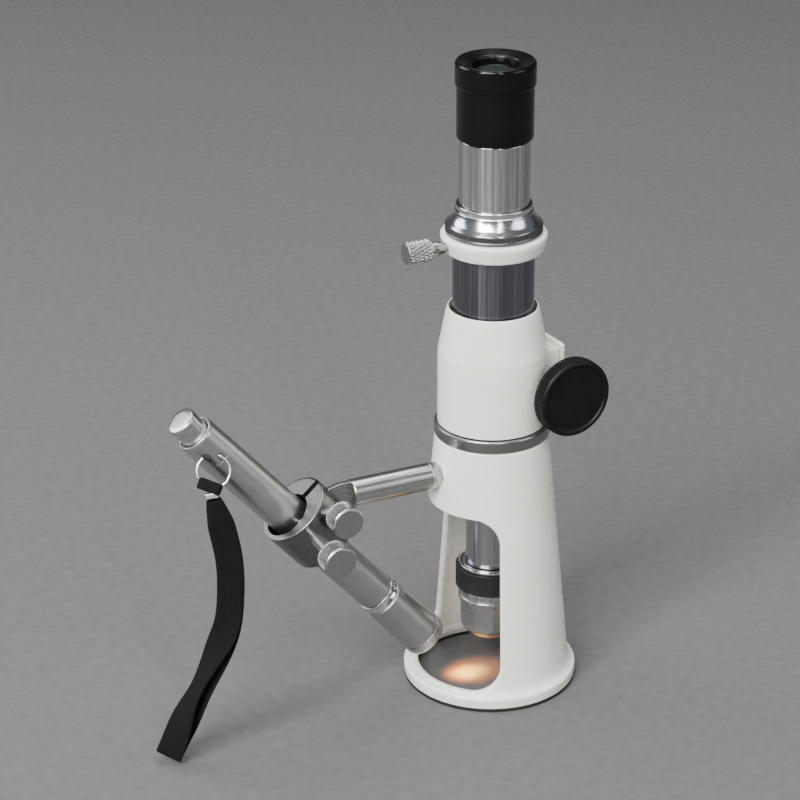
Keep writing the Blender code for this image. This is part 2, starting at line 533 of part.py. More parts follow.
def make_light(column):
    light = frame("light_frame", column, (-LIGHT_S, LIGHT_SIDE, 0), *light_axes())
    barrel = tube_outline(BARREL_BORE, BARREL_R, BARREL_LOW, BARREL_HIGH, 0.1)
    node("light_barrel", turned("light_barrel", barrel, 32), "aluminium", light)
    seam = HEAD_LOW + 4.6
    head = [(6.3, seam), (HEAD_R - 0.2, seam), (HEAD_R, seam + 0.3), (HEAD_BACK_R, HEAD_HIGH - 0.3)]
    head += [(HEAD_BACK_R - 0.3, HEAD_HIGH), (5.9, HEAD_HIGH), (5.9, seam + 6)]
    node("light_head", turned("light_head", head, 32), "aluminium", light)
    bezel = [(5.6, HEAD_LOW + 0.5), (6.2, HEAD_LOW), (HEAD_R - 0.9, HEAD_LOW), (HEAD_R - 0.1, HEAD_LOW + 0.7)]
    bezel += [(HEAD_R, seam - GAP), (6.6, seam - GAP), (6.6, HEAD_LOW + 2.0), (5.6, HEAD_LOW + 1.5)]
    node("light_bezel", turned("light_bezel", bezel, 32), "aluminium", light)
    trim = [(5.9, 53.3), (7.3, 53.3), (7.5, 53.8), (7.3, 54.4), (7.1, 54.8), (7.3, 55.4), (7.2, 56.7), (5.9, 56.7)]
    node("light_trim_ring", turned("light_trim_ring", trim, 32), "chrome", light)
    glass = rod_outline(6.2, HEAD_LOW + 2.3, HEAD_LOW + 3.9, 0.1)
    node("light_window", turned("light_window", glass, 24), "glass", light)
    dish = [(5.6, HEAD_LOW + 4.9), (5.9, HEAD_LOW + 4.9), (5.5, 35.5), (4.2, 38.9), (2.0, 40.6), (2.0, 39.9), (3.8, 38.4), (5.1, 35.3)]
    node("light_reflector", turned("light_reflector", dish, 24), "mirror", light)
    bulb = [(0, 34.6), (1.0, 35.0), (1.5, 36.2), (1.5, 43.0), (2.6, 43.0), (2.6, 50.5), (1.0, 52.6), (0, 52.6)]
    node("light_bulb", turned("light_bulb", bulb, 20), "glass", light)
    for number in (1, 2):
        low = 53.4 + (number - 1) * (CELL_L + GAP)
        cell = [(0, low), (1.9, low), (1.9, low + 1.0), (CELL_R - 0.4, low + 1.0), (CELL_R, low + 1.4)]
        cell += [(CELL_R, low + CELL_L - 0.3), (CELL_R - 0.3, low + CELL_L), (0, low + CELL_L)]
        node(f"light_cell_{number}", turned(f"light_cell_{number}", cell, 20), "brass", light)
    coil_low, coil_turns, steps = 143.4, 3.0, 42
    sections = []
    for k in range(steps + 1):
        angle = 2 * math.pi * coil_turns * k / steps
        out = Vector((math.cos(angle), math.sin(angle), 0))
        middle = out * (4.4 - 1.6 * k / steps) + Vector((0, 0, coil_low + 2.6 * k / steps))
        ring = [math.radians(60 * j) for j in range(6)]
        sections.append([middle + out * (0.3 * math.cos(a)) + Vector((0, 0, 0.3 * math.sin(a))) for a in ring])
    node("light_spring", swept("light_spring", sections), "steel", light)

    tail = [(0, 146.6), (BARREL_R - 0.1, 146.3), (BARREL_R, 146.5), (6.9, 157.2), (6.6, 158.0), (6.2, 158.1)]
    tail += [(5.4, 157.2), (5.4, 154.6), (0, 154.6)]
    cap = node("light_tail", turned("light_tail", tail, 32), "aluminium", light)
    button = [(0, 156.5), (5.0, 156.5), (5.1, 156.6), (5.1, 162.6), (5.35, 162.9)]
    button += [(5.35, 165.0), (4.9, 165.7), (0, 165.9)]
    node("tail_button", turned("tail_button", button, 24), "aluminium", light)
    return cap


def ring_outline(wire, count):
    """The lanyard ring's cross section, or its tunnel's."""
    angles = [2 * math.pi * k / count for k in range(count)]
    return [(RING_R + wire * math.cos(a), wire * math.sin(a)) for a in angles]


def smooth_route(points, steps):
    """A Catmull-Rom curve through the points."""
    line = [Vector(p) for p in points]
    line = [2 * line[0] - line[1]] + line + [2 * line[-1] - line[-2]]
    out = []
    for a, b, c, d in zip(line, line[1:], line[2:], line[3:]):
        for k in range(steps):
            t = k / steps
            bend = (2 * a - 5 * b + 4 * c - d) * t**2 + (3 * b - a - 3 * c + d) * t**3
            out.append(0.5 * (2 * b + (c - a) * t + bend))
    out.append(line[-2])
    return out


def strap_sections():
    """Down one leg, round the fold above the table and up the other leg: four corners at each place."""
    line = smooth_route(STRAP_ROUTE, 2)
    legs = ([], [])
    for k, middle in enumerate(line):
        before, after = line[max(k - 1, 0)], line[min(k + 1, len(line) - 1)]
        forward = (after - before).normalized()
        share = k / (len(line) - 1)
        turn = math.radians(STRAP_TWIST * math.exp(-(((share - 0.74) / 0.15) ** 2)))
        wide = Vector(FACING).cross(forward).normalized()
        wide = (wide * math.cos(turn) + forward.cross(wide) * math.sin(turn)).normalized()
        thick = wide.cross(forward).normalized()
        for leg, side in zip(legs, (1, -1)):
            leg.append((middle + thick * (side * STRAP_GAP / 2), wide, thick * side, forward))
    middle = line[-1]
    place, wide, thick, forward = legs[0][-1]
    fold = []
    for degrees in (30, 60, 90, 120, 150):
        a = math.radians(degrees)
        out = thick * math.cos(a) + forward * math.sin(a)
        fold.append((middle + out * (STRAP_GAP / 2), wide, out, forward))
    sections = []
    for place, wide, out, _ in legs[0] + fold + legs[1][::-1]:
        corners = ((-1, -1), (1, -1), (1, 1), (-1, 1))
        sections.append([place + wide * (STRAP_W / 2 * x) + out * (STRAP_T / 2 * y) for x, y in corners])
    return sections


STRAP_TWIST = 62.0
STRAP_ROUTE = (
    (-110.9, -10.7, 98.9),
    (-108.7, -12.1, 88.0),
    (-107.2, -13.6, 76.8),
    (-107.4, -14.6, 65.7),
    (-108.8, -14.8, 54.0),
    (-112.3, -13.9, 43.2),
    (-118.7, -11.9, 27.8),
    (-124.4, -10.3, 16.4),
    (-129.5, -8.7, 4.6),
)


def make_lanyard(column, cap):
    """The ring in its tunnel through the tail, the keeper that hangs on it and the strap."""
    across = (1, 0, 0)
    ring = frame("lanyard_axis", column, RING_CENTRE, across, FACING)
    cut(cap, "lanyard_tunnel", turned("lanyard_tunnel", ring_outline(RING_WIRE + 0.35, 10), 24), ring)
    node("lanyard_ring", turned("lanyard_ring", ring_outline(RING_WIRE, 8), 24), "chrome", ring)
    keeper_frame = frame("keeper_frame", column, KEEPER, (0.787, -0.532, -0.312), (0.475, 0.2, 0.857))
    keeper = node("strap_keeper", box_mesh("strap_keeper", (-4.2, -2.2, -2.3), (4.2, 2.2, 1.9)), "webbing", keeper_frame)
    cut(keeper, "keeper_groove", turned("keeper_groove", ring_outline(RING_WIRE + 0.35, 10), 24), ring)
    node("wrist_strap", swept("wrist_strap", strap_sections()), "webbing", column)


def main():
    clear_scene()
    column = frame("column", None, (COLUMN_X, COLUMN_Y, 0))
    turn = math.radians(BOSS_TURN)
    boss_x = (math.cos(turn), math.sin(turn), 0)
    boss = frame("boss", column, (0, 0, 0), boss_x)
    make_stand(column, boss)
    make_tube(column, boss)
    collar_screw = frame("collar_screw_axis", column, (0, 0, SCREW_Z), (0, 0, 1), (-1, 0, 0))
    spans = ((1.4, 14.8, 19.2), (2.2, 20.6, 23.8), (3.9, 24.7, 34.0))
    thumb_screw("collar_screw", collar_screw, 24, spans)
    make_focus_drive(boss)
    make_eyepiece(column)
    make_arm(column)
    make_clamp(column)
    cap = make_light(column)
    make_lanyard(column, cap)


main()
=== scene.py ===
"""The finished look of a portable shop microscope.

Every piece is a numpy surface in millimetres in its own place (a column, boss, arm or light frame), written
into the mesh in metres. Turned pieces are closed profiles carried round an axis, the casting's wall is a grid
stretched from its window to its edges, and the strap is a woven band carried along its route.
"""

import math

import bmesh
import bpy
import numpy as np
from mathutils import Matrix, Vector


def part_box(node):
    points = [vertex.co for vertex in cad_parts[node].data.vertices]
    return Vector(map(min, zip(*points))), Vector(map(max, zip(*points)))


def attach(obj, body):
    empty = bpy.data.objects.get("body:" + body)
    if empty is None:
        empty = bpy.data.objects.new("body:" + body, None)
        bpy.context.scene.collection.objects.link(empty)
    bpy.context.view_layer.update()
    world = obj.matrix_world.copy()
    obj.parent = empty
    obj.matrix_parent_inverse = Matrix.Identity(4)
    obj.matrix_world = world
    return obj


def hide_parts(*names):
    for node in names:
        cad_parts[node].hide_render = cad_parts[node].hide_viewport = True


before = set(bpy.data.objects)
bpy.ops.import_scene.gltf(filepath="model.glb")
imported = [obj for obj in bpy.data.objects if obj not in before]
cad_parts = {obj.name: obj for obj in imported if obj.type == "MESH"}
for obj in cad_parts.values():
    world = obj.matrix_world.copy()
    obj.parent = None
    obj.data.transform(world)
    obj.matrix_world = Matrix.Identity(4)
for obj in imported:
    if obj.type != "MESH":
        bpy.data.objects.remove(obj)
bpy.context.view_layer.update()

MM = 0.001
TAU = 2 * math.pi
tube_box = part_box("main_tube")
COLUMN = np.array([(tube_box[0][0] + tube_box[1][0]) / 2, (tube_box[0][1] + tube_box[1][1]) / 2, 0.0]) / MM

# Driving sizes, in millimetres and radians, as the part has them
BASE_R = 31.75
BORE_R = 27.2
CONE_TOP_Z, CONE_TOP_R, CONE_SLOPE, WALL = 97.4, 20.4, 0.095, 2.6
WINDOW = dict(half=math.radians(71), low=6.2, high=72.3, corner=10.0)
BOSS_TURN = math.radians(4.5)
BOSS_RHO, BOSS_HALF, BOSS_LOW, BOSS_HIGH = 22.9, 8.5, 103.6, 128.4
PINION_RHO, PINION_Z, KNOB_BACK = 19.1, 115.0, 19.2
SCREW_Z, ROD_Z, ROD_END, PIVOT_S = 170.6, 84.8, 55.5, 66.1
LIGHT_S, LIGHT_SIDE, LIGHT_LEAN = 8.4, 1.3, math.radians(48.86)
CAP_TOP, CAP_R, CUP_R = 234.6, 13.25, 13.85
TUBE_R, DRAW_R, GRIP_R, HOLDER_R, KNOB_R, SCREW_R = 14.35, 12.3, 12.6, 16.93, 14.2, 3.9
LIGHT_R, LIGHT_HEAD_R, THUMB_R = 7.0, 8.3, 5.75
RING_CENTRE, FACING, RING_R, RING_WIRE = (-109.2, -6.9, 107.6), (-0.324, -0.841, 0.434), 5.6, 0.45
KEEPER, KEEPER_WIDTH = (-111.4, -9.1, 103.7), (0.787, -0.532, -0.312)
STRAP_W, STRAP_T, STRAP_GAP, STRAP_TWIST = 9.4, 1.1, 3.8, 62.0
STRAP_ROUTE = (
    (-0.1109, -0.0107, 0.0989),
    (-0.1087, -0.0121, 0.0880),
    (-0.1072, -0.0136, 0.0768),
    (-0.1074, -0.0146, 0.0657),
    (-0.1088, -0.0148, 0.0540),
    (-0.1123, -0.0139, 0.0432),
    (-0.1187, -0.0119, 0.0278),
    (-0.1244, -0.0103, 0.0164),
    (-0.1295, -0.0087, 0.0046),
)

# The camera, in millimetres and degrees
VIEW_TURN, VIEW_DROP, VIEW_ROLL = -25.561, 24.244, -0.256
VIEW_SPOT, VIEW_LENS, VIEW_SENSOR = (-397.7, -755.9, 494.0), 118.83, 36


def unit(v):
    v = np.asarray(v, float)
    return v / np.linalg.norm(v)


def place(origin=(0, 0, 0), z=(0, 0, 1), x=(1, 0, 0)):
    """A place in the column's millimetres: its origin and its X, Y and Z as rows."""
    z = unit(z)
    x = np.asarray(x, float)
    x = unit(x - z * x.dot(z))
    return np.asarray(origin, float), np.array([x, np.cross(z, x), z])


def put(points, where):
    """Local millimetres to the column's millimetres."""
    origin, axes = where
    return points @ axes + origin


LEAN_COS, LEAN_SIN = math.cos(LIGHT_LEAN), math.sin(LIGHT_LEAN)
UP = place()
BOSS = place(x=(math.cos(BOSS_TURN), math.sin(BOSS_TURN), 0))
ARM = place((0, 0, ROD_Z), (-1, 0, 0), (0, 0, 1))
CLAMP = place((-LIGHT_S, 0, 0), (-LEAN_COS, 0, LEAN_SIN), (LEAN_SIN, 0, LEAN_COS))
LIGHT = place((-LIGHT_S, LIGHT_SIDE, 0), (-LEAN_COS, 0, LEAN_SIN), (LEAN_SIN, 0, LEAN_COS))
PINION = place(put(np.array([PINION_RHO, 0, PINION_Z]), BOSS), -BOSS[1][1], (0, 0, 1))
COLLAR_SCREW = place((0, 0, SCREW_Z), (-1, 0, 0), (0, 0, 1))
SWIVEL = place((-PIVOT_S, 0, ROD_Z), (0, -1, 0), (LEAN_SIN, 0, LEAN_COS))
LIGHT_SCREW = place(put(np.array([1.2, 0, 106.0]), CLAMP), (0, -1, 0), (LEAN_SIN, 0, LEAN_COS))
RING = place(RING_CENTRE, FACING)


# ---------------------------------------------------------------- meshes


def surface(name, grid, wrap_u=False, wrap_v=True, where=UP):
    """A mesh from a grid of points (rows u, columns v). Faces join each point to the next in u and in v; the
    last row or column joins the first where it wraps. UVs are the running length down the rows and the share
    of the way round the columns. Poles and seams are merged and faces turned outwards."""
    rows, cols = grid.shape[:2]
    points = (put(grid.reshape(-1, 3), where) + COLUMN) * MM
    i, j = np.meshgrid(
        np.arange(rows if wrap_u else rows - 1), np.arange(cols if wrap_v else cols - 1), indexing="ij",
    )
    i, j = i.ravel(), j.ravel()
    i2, j2 = (i + 1) % rows, (j + 1) % cols
    faces = np.stack([i * cols + j, i * cols + j2, i2 * cols + j2, i2 * cols + j], 1)
    mesh = bpy.data.meshes.new(name)
    mesh.vertices.add(rows * cols)
    mesh.vertices.foreach_set("co", points.ravel())
    mesh.loops.add(faces.size)
    mesh.loops.foreach_set("vertex_index", faces.ravel().astype(np.int32))
    mesh.polygons.add(len(faces))
    mesh.polygons.foreach_set("loop_start", np.arange(0, faces.size, 4, dtype=np.int32))
    mesh.polygons.foreach_set("loop_total", np.full(len(faces), 4, dtype=np.int32))
    step = np.linalg.norm(np.diff(grid, axis=0, append=grid[:1]), axis=2).mean(1)
    run = np.concatenate([[0], np.cumsum(step)]) / 100
    u_share = np.stack([j / cols, (j + 1) / cols, (j + 1) / cols, j / cols], 1)
    v_share = np.stack([run[i], run[i], run[i + 1], run[i + 1]], 1)
    layer = mesh.uv_layers.new(name="UVMap")
    layer.data.foreach_set("uv", np.stack([u_share, v_share], 2).ravel())
    mesh.update(calc_edges=True)
    work = bmesh.new()
    work.from_mesh(mesh)
    bmesh.ops.remove_doubles(work, verts=work.verts, dist=2e-7)
    bmesh.ops.recalc_face_normals(work, faces=work.faces)
    work.to_mesh(mesh)
    work.free()
    mesh.shade_smooth()
    obj = bpy.data.objects.new(name, mesh)
    bpy.context.collection.objects.link(obj)
    return obj


def soften(outline, default=0.3, arc=4):
    """A closed outline with each corner cut back by its own distance and rounded with a quadratic curve.
    A support point past each end of the curve keeps flat faces flat. Points are (r, z) or (r, z, cut)."""
    out = []
    count = len(outline)
    for k, point in enumerate(outline):
        here = np.array(point[:2], float)
        cut = point[2] if len(point) > 2 else default
        before, after = (np.array(outline[(k + way) % count][:2], float) for way in (-1, 1))
        back, ahead = before - here, after - here
        back_l, ahead_l = np.linalg.norm(back), np.linalg.norm(ahead)
        if here[0] < 1e-6 or cut <= 0:
            out.append(here)
            continue
        back_cut, ahead_cut = min(cut, 0.38 * back_l), min(cut, 0.38 * ahead_l)
        start, end = here + back / back_l * back_cut, here + ahead / ahead_l * ahead_cut
        out.append(here + back / back_l * min(back_cut * 1.25, 0.45 * back_l))
        for t in np.linspace(0, 1, arc + 1):
            out.append((1 - t) ** 2 * start + 2 * t * (1 - t) * here + t * t * end)
        out.append(here + ahead / ahead_l * min(ahead_cut * 1.25, 0.45 * ahead_l))
    return np.array(out)


def turned(name, outline, where=UP, steps=96, default=0.3, arc=4, ripple=None):
    """A closed outline (r, z) carried once round local Z: x = r cos a, y = r sin a. A ripple takes the
    radii, the heights and the angles and gives the radii their ribs."""
    profile = soften(outline, default, arc)
    angle = np.arange(steps) * TAU / steps
    radius = np.repeat(profile[:, :1], steps, 1)
    height = np.repeat(profile[:, 1:], steps, 1)
    if ripple is not None:
        radius = ripple(radius, height, angle[None, :])
    grid = np.stack([radius * np.cos(angle), radius * np.sin(angle), height], 2)
    return surface(name, grid, wrap_u=True, where=where)


def ribs(count, depth, outer, low, high, sharp=1.0, fade=0.5):
    """Ribs along a round face: the radius dips by depth between the ribs, only near the outer radius and
    between the heights low and high, with their ends faded."""

    def ripple(radius, height, angle):
        wave = (0.5 - 0.5 * np.cos(count * angle)) ** sharp
        ends = np.clip((height - low) / fade, 0, 1) * np.clip((high - height) / fade, 0, 1)
        near = np.clip((radius - outer + 1.2) / 0.9, 0, 1)
        return radius - depth * wave * ends * near

    return ripple


def knurl(count, pitch, depth, outer, low, high, fade=0.4):
    """Diamond knurling: two sets of crossing helical grooves, count round the piece and pitch along it."""

    def ripple(radius, height, angle):
        left = np.abs(np.sin(0.5 * (count * angle + TAU * height / pitch)))
        right = np.abs(np.sin(0.5 * (count * angle - TAU * height / pitch)))
        ends = np.clip((height - low) / fade, 0, 1) * np.clip((high - height) / fade, 0, 1)
        near = np.clip((radius - outer + 0.7) / 0.5, 0, 1)
        return radius - depth * (1 - np.minimum(left, right) * 1.3).clip(0, 1) * ends * near

    return ripple


def extruded(name, outline, low, high, where=UP, bevel=0.3, arc=3):
    """A closed (x, y) outline carried along local Z, its edges rounded by shrinking the outline at both ends
    along its own normals, and its ends closed on its middle."""
    outline = np.asarray(outline, float)
    ahead, back = np.roll(outline, -1, 0) - outline, outline - np.roll(outline, 1, 0)
    tangent = ahead / np.linalg.norm(ahead, axis=1)[:, None] + back / np.linalg.norm(back, axis=1)[:, None]
    tangent /= np.linalg.norm(tangent, axis=1)[:, None]
    inward = np.stack([-tangent[:, 1], tangent[:, 0]], 1)
    turns = np.linspace(0, math.pi / 2, arc + 1)
    stations = [(bevel * 1.6, low)] + [(
        bevel * (1 - math.sin(a)), low + bevel * (1 - math.cos(a)),
    ) for a in turns]
    stations += [(0, low + bevel * 1.3), (0, high - bevel * 1.3)]
    stations += [(
        bevel * (1 - math.cos(a)), high - bevel * (1 - math.sin(a)),
    ) for a in turns] + [(bevel * 1.6, high)]
    middle = outline.mean(0)
    layers = [np.c_[np.repeat([middle], len(outline), 0), np.full(len(outline), low)]]
    layers += [np.c_[outline + inward * cut, np.full(len(outline), z)] for cut, z in stations]
    layers += [np.c_[np.repeat([middle], len(outline), 0), np.full(len(outline), high)]]
    return surface(name, np.array(layers), where=where)


def rounded_box(half_x, half_y, corner, steps=8):
    """A rectangle outline about the origin with round corners, anticlockwise."""
    turn = np.linspace(0, math.pi / 2, steps)
    quarter = np.stack([np.cos(turn), np.sin(turn)], 1) * corner
    out = []
    for k, (x, y) in enumerate(((1, 1), (-1, 1), (-1, -1), (1, -1))):
        cos_k, sin_k = math.cos(k * math.pi / 2), math.sin(k * math.pi / 2)
        spin = np.array([[cos_k, sin_k], [-sin_k, cos_k]])
        out.append(quarter @ spin + [x * (half_x - corner), y * (half_y - corner)])
    return np.concatenate(out)


# ---------------------------------------------------------------- materials


class Finish:
    """A material with short words for its nodes."""

    def __init__(self, name, colour, rough, metal=0.0, **sockets):
        self.material = bpy.data.materials.new(name)
        self.material.use_nodes = True
        self.nodes = self.material.node_tree.nodes
        self.links = self.material.node_tree.links
        self.shader = self.nodes["Principled BSDF"]
        self.set("Base Color", (*colour, 1.0))
        self.set("Roughness", rough)
        self.set("Metallic", metal)
        for socket, value in sockets.items():
            self.set(socket.replace("_", " "), value)

    def set(self, socket, value):
        self.shader.inputs[socket].default_value = value

    def coordinates(self, kind, scale):
        source = self.nodes.new("ShaderNodeTexCoord")
        mapping = self.nodes.new("ShaderNodeMapping")
        mapping.inputs["Scale"].default_value = scale
        self.links.new(source.outputs[kind], mapping.inputs["Vector"])
        return mapping.outputs["Vector"]

    def noise(self, kind="Object", scale=(1, 1, 1), detail=3.0, rough=0.5, size=1.0):
        node = self.nodes.new("ShaderNodeTexNoise")
        node.inputs["Scale"].default_value = size
        node.inputs["Detail"].default_value = detail
        node.inputs["Roughness"].default_value = rough
        self.links.new(self.coordinates(kind, scale), node.inputs["Vector"])
        return node.outputs["Fac"]

    def wave(self, kind, scale, direction="X", distortion=0.0):
        node = self.nodes.new("ShaderNodeTexWave")
        node.bands_direction = direction
        node.inputs["Scale"].default_value = 1.0
        node.inputs["Distortion"].default_value = distortion
        self.links.new(self.coordinates(kind, scale), node.inputs["Vector"])
        return node.outputs["Fac"]

    def math(self, how, first, second):
        node = self.nodes.new("ShaderNodeMath")
        node.operation = how
        for slot, value in zip(node.inputs, (first, second)):
            if isinstance(value, (int, float)):
                slot.default_value = value
            else:
                self.links.new(value, slot)
        return node.outputs["Value"]

    def roughness(self, factor, low, high):
        node = self.nodes.new("ShaderNodeMapRange")
        node.inputs["From Min"].default_value = 0.3
        node.inputs["From Max"].default_value = 0.7
        node.inputs["To Min"].default_value = low
        node.inputs["To Max"].default_value = high
        self.links.new(factor, node.inputs["Value"])
        self.links.new(node.outputs["Result"], self.shader.inputs["Roughness"])

    def shades(self, factor, *stops):
        ramp = self.nodes.new("ShaderNodeValToRGB")
        ends = ramp.color_ramp.elements
        ends[0].position, ends[-1].position = stops[0][0], stops[-1][0]
        for position, colour in stops[1:-1]:
            ramp.color_ramp.elements.new(position)
        for element, (position, colour) in zip(ramp.color_ramp.elements, stops):
            element.position = position
            element.color = (*colour, 1.0)
        self.links.new(factor, ramp.inputs["Fac"])
        self.links.new(ramp.outputs["Color"], self.shader.inputs["Base Color"])

    def relief(self, height, strength, distance):
        bump = self.nodes.new("ShaderNodeBump")
        bump.inputs["Strength"].default_value = strength
        bump.inputs["Distance"].default_value = distance
        if self.shader.inputs["Normal"].links:
            self.links.new(self.shader.inputs["Normal"].links[0].from_socket, bump.inputs["Normal"])
        self.links.new(height, bump.inputs["Height"])
        self.links.new(bump.outputs["Normal"], self.shader.inputs["Normal"])


def tint(colour, share):
    return tuple(min(1.0, value * share) for value in colour)


def enamel():
    """Warm white stoved enamel: faint orange peel and a little unevenness of tone."""
    made = Finish("stoved_enamel", (0.84, 0.83, 0.775), 0.26, Coat_Weight=0.35, Coat_Roughness=0.12)
    made.shades(made.noise(size=60, detail=2), (0.3, (0.82, 0.81, 0.735)), (0.7, (0.86, 0.85, 0.78)))
    made.roughness(made.noise(size=400, detail=3), 0.22, 0.34)
    made.relief(made.noise(size=900, detail=2), 0.06, 0.00005)
    return made.material


def round_metal(
    name, colour, rough, streak=0.5, rings=0.0, shade=0.12, metal=1.0, way=(420, 3, 1), spread=0.0,
):
    """Metal polished along or turned round: fine streaks down the length and fine rings round it, in UV.
    With a large shade and broad bands round the piece, the streaks become painted reflection bands in the
    colour. A spread draws its highlights out along the piece."""
    made = Finish(name, colour, rough, metal)
    along = made.noise("UV", way, detail=4, rough=0.6)
    # Colour between a darker and a lighter tint along the noise: real polish streaks, and painted reflection
    # bands where the shade is large and the bands broad.
    made.shades(along, (0.3, tint(colour, 1 - shade)), (0.7, tint(colour, 1 + shade)))
    made.roughness(along, rough * 0.75, rough * 1.35)
    if streak:
        made.relief(along, streak * 0.2, 0.00005)
    if rings:
        made.relief(made.noise("UV", (2, 1500, 1), detail=2), rings * 0.3, 0.00005)
    if spread:
        tangent = made.nodes.new("ShaderNodeTangent")
        tangent.direction_type, tangent.uv_map = "UV_MAP", "UVMap"
        made.links.new(tangent.outputs["Tangent"], made.shader.inputs["Tangent"])
        made.set("Anisotropic", spread)
        made.set("Anisotropic Rotation", 0.25)
    return made.material


def blasted(name, colour, rough):
    """Bead blasted and anodised aluminium: a fine even grain with slow patches of tone."""
    made = Finish(name, colour, rough, 1.0)
    made.shades(made.noise(size=90, detail=3), (0.3, tint(colour, 0.93)), (0.7, tint(colour, 1.06)))
    grain = made.noise(size=5200, detail=2, rough=0.7)
    made.roughness(grain, rough * 0.85, rough * 1.15)
    made.relief(grain, 0.14, 0.00004)
    return made.material


def plastic(name, colour, rough, grain=1500, depth=0.25, coat=0.0, patches=0.3):
    """Moulded plastic: a fine skin texture and patches of roughness where hands have been."""
    made = Finish(name, colour, rough, 0.0, Coat_Weight=coat, Coat_Roughness=0.1, Specular_IOR_Level=0.22)
    made.shades(made.noise(size=150, detail=3), (0.3, tint(colour, 0.8)), (0.7, tint(colour, 1.25)))
    made.roughness(made.noise(size=220, detail=4), rough * (1 - patches), rough * (1 + patches))
    made.relief(made.noise(size=grain, detail=2), depth, 0.00005)
    return made.material


def glass(name, colour, rough=0.03, ior=1.52):
    made = Finish(
        name, colour, rough, 0.0, IOR=ior, Transmission_Weight=0.96, Coat_Weight=0.3, Coat_Roughness=0.02,
    )
    made.set("Coat Tint", (0.75, 0.95, 0.85, 1.0))
    made.roughness(made.noise(size=300, detail=2), rough, rough * 1.6)
    return made.material


def woven(name, colour):
    """Ribbed webbing: cords run along the strap and weft threads cross between them."""
    made = Finish(name, colour, 0.88, 0.0, Specular_IOR_Level=0.08)
    weft = made.wave("UV", (0, 620, 1), "Y", 0.4)
    fuzz = made.noise(size=2600, detail=3)
    both = made.math("ADD", made.math("MULTIPLY", weft, 0.6), made.math("MULTIPLY", fuzz, 0.7))
    made.shades(both, (0.3, tint(colour, 0.4)), (0.95, tint(colour, 2.2)))
    made.relief(both, 0.5, 0.00018)
    return made.material


def glowing(name, colour, strength):
    made = Finish(name, (0.9, 0.8, 0.6), 0.2)
    made.set("Emission Color", (*colour, 1.0))
    made.set("Emission Strength", strength)
    made.roughness(made.noise(size=500), 0.15, 0.3)
    return made.material


ENAMEL = enamel()
PAD = plastic("pad_rubber", (0.02, 0.02, 0.02), 0.8)
BAND = round_metal("satin_band", (0.30, 0.31, 0.31), 0.30, 0.2, 0.6, 0.05, way=(3, 900, 1))
# Broad bands round the tube at a large shade: painted reflection bands in the colour, with real reflections
# drawn out by the spread.
DARK_TUBE = round_metal(
    "dark_polished_tube", (0.18, 0.19, 0.21), 0.2, 0.4, 0.0, 0.3, way=(90, 1, 1), spread=0.8,
)
CHROME = round_metal("bright_chrome", (0.80, 0.81, 0.82), 0.12, 0.4)
# Broad bands round the tube at a large shade: painted reflection bands in the colour, with real reflections
# drawn out by the spread.
DRAW = round_metal("polished_draw_tube", (0.56, 0.57, 0.59), 0.2, 0.4, 0.0, 0.3, way=(70, 1, 1), spread=0.8)
DISH = round_metal("turned_dish", (0.80, 0.80, 0.79), 0.16, 0.0, 0.6, way=(3, 1200, 1))
# Darker than the dish it belongs to: painted shade for the dark reflections in its ribs.
HOLDER_GRIP_PAINTED_DARK = round_metal("holder_grip_painted_dark", (0.16, 0.16, 0.17), 0.34, 0.0, 0.2)
STEEL = round_metal("turned_steel", (0.52, 0.52, 0.50), 0.24, 0.3, 0.2)
NICKEL = round_metal("satin_nickel", (0.40, 0.40, 0.385), 0.30, 0.2, 0.3)
CLAMP_NICKEL = round_metal("dark_nickel", (0.20, 0.20, 0.195), 0.30, 0.2, 0.3)
# A darkened copy of bright chrome: the dark reflections of the polished nose are painted into its colour.
NOSE = round_metal("nose_chrome", (0.42, 0.43, 0.45), 0.17, 0.3, 0.0, 0.05, spread=0.8)
ALLOY = blasted("blasted_alloy", (0.52, 0.52, 0.51), 0.33)
BRIGHT_ALLOY = blasted("bright_alloy", (0.60, 0.60, 0.585), 0.27)
BRASS = round_metal("machined_brass", (0.72, 0.52, 0.22), 0.25, 0.1, 0.4)
GRIP = plastic("knurled_grip", (0.014, 0.014, 0.014), 0.5)
KNOB = plastic("knob_plastic", (0.004, 0.004, 0.004), 0.42, 1800, 0.2)
CAP = plastic("cap_plastic", (0.003, 0.003, 0.0035), 0.2, 2500, 0.05, 0.05, 0.2)
# Matt black for the blackened inner parts, and painted shade on the clamp's bore and in the tunnel mouths.
MATT_BLACK_AND_SHADE = plastic("matt_black_and_painted_shade", (0.008, 0.008, 0.008), 0.7)
LENS = glass("coated_lens", (0.86, 0.95, 0.90))
EYE_LENS = glass("eye_lens_coated", (0.30, 0.36, 0.32))
MIRROR = round_metal("reflector_film", (0.92, 0.92, 0.90), 0.06, 0.0, 0.1, 0.03)
CELL = plastic("cell_jacket", (0.05, 0.06, 0.09), 0.35)
WEBBING = woven("black_webbing", (0.006, 0.006, 0.0065))
OBJECTIVE = blasted("objective_satin", (0.50, 0.50, 0.50), 0.27)
LIT_GLASS = glowing("lit_bulb", (1.0, 0.72, 0.38), 12.0)


def finish_piece(obj, material, body, *nodes, slot=None):
    """Gives a piece its material, the body it moves with and the CAD nodes it stands for."""
    obj.data.materials.clear()
    obj.data.materials.append(material)
    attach(obj, body)
    if nodes:
        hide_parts(*nodes)
    return obj


# ---------------------------------------------------------------- camera


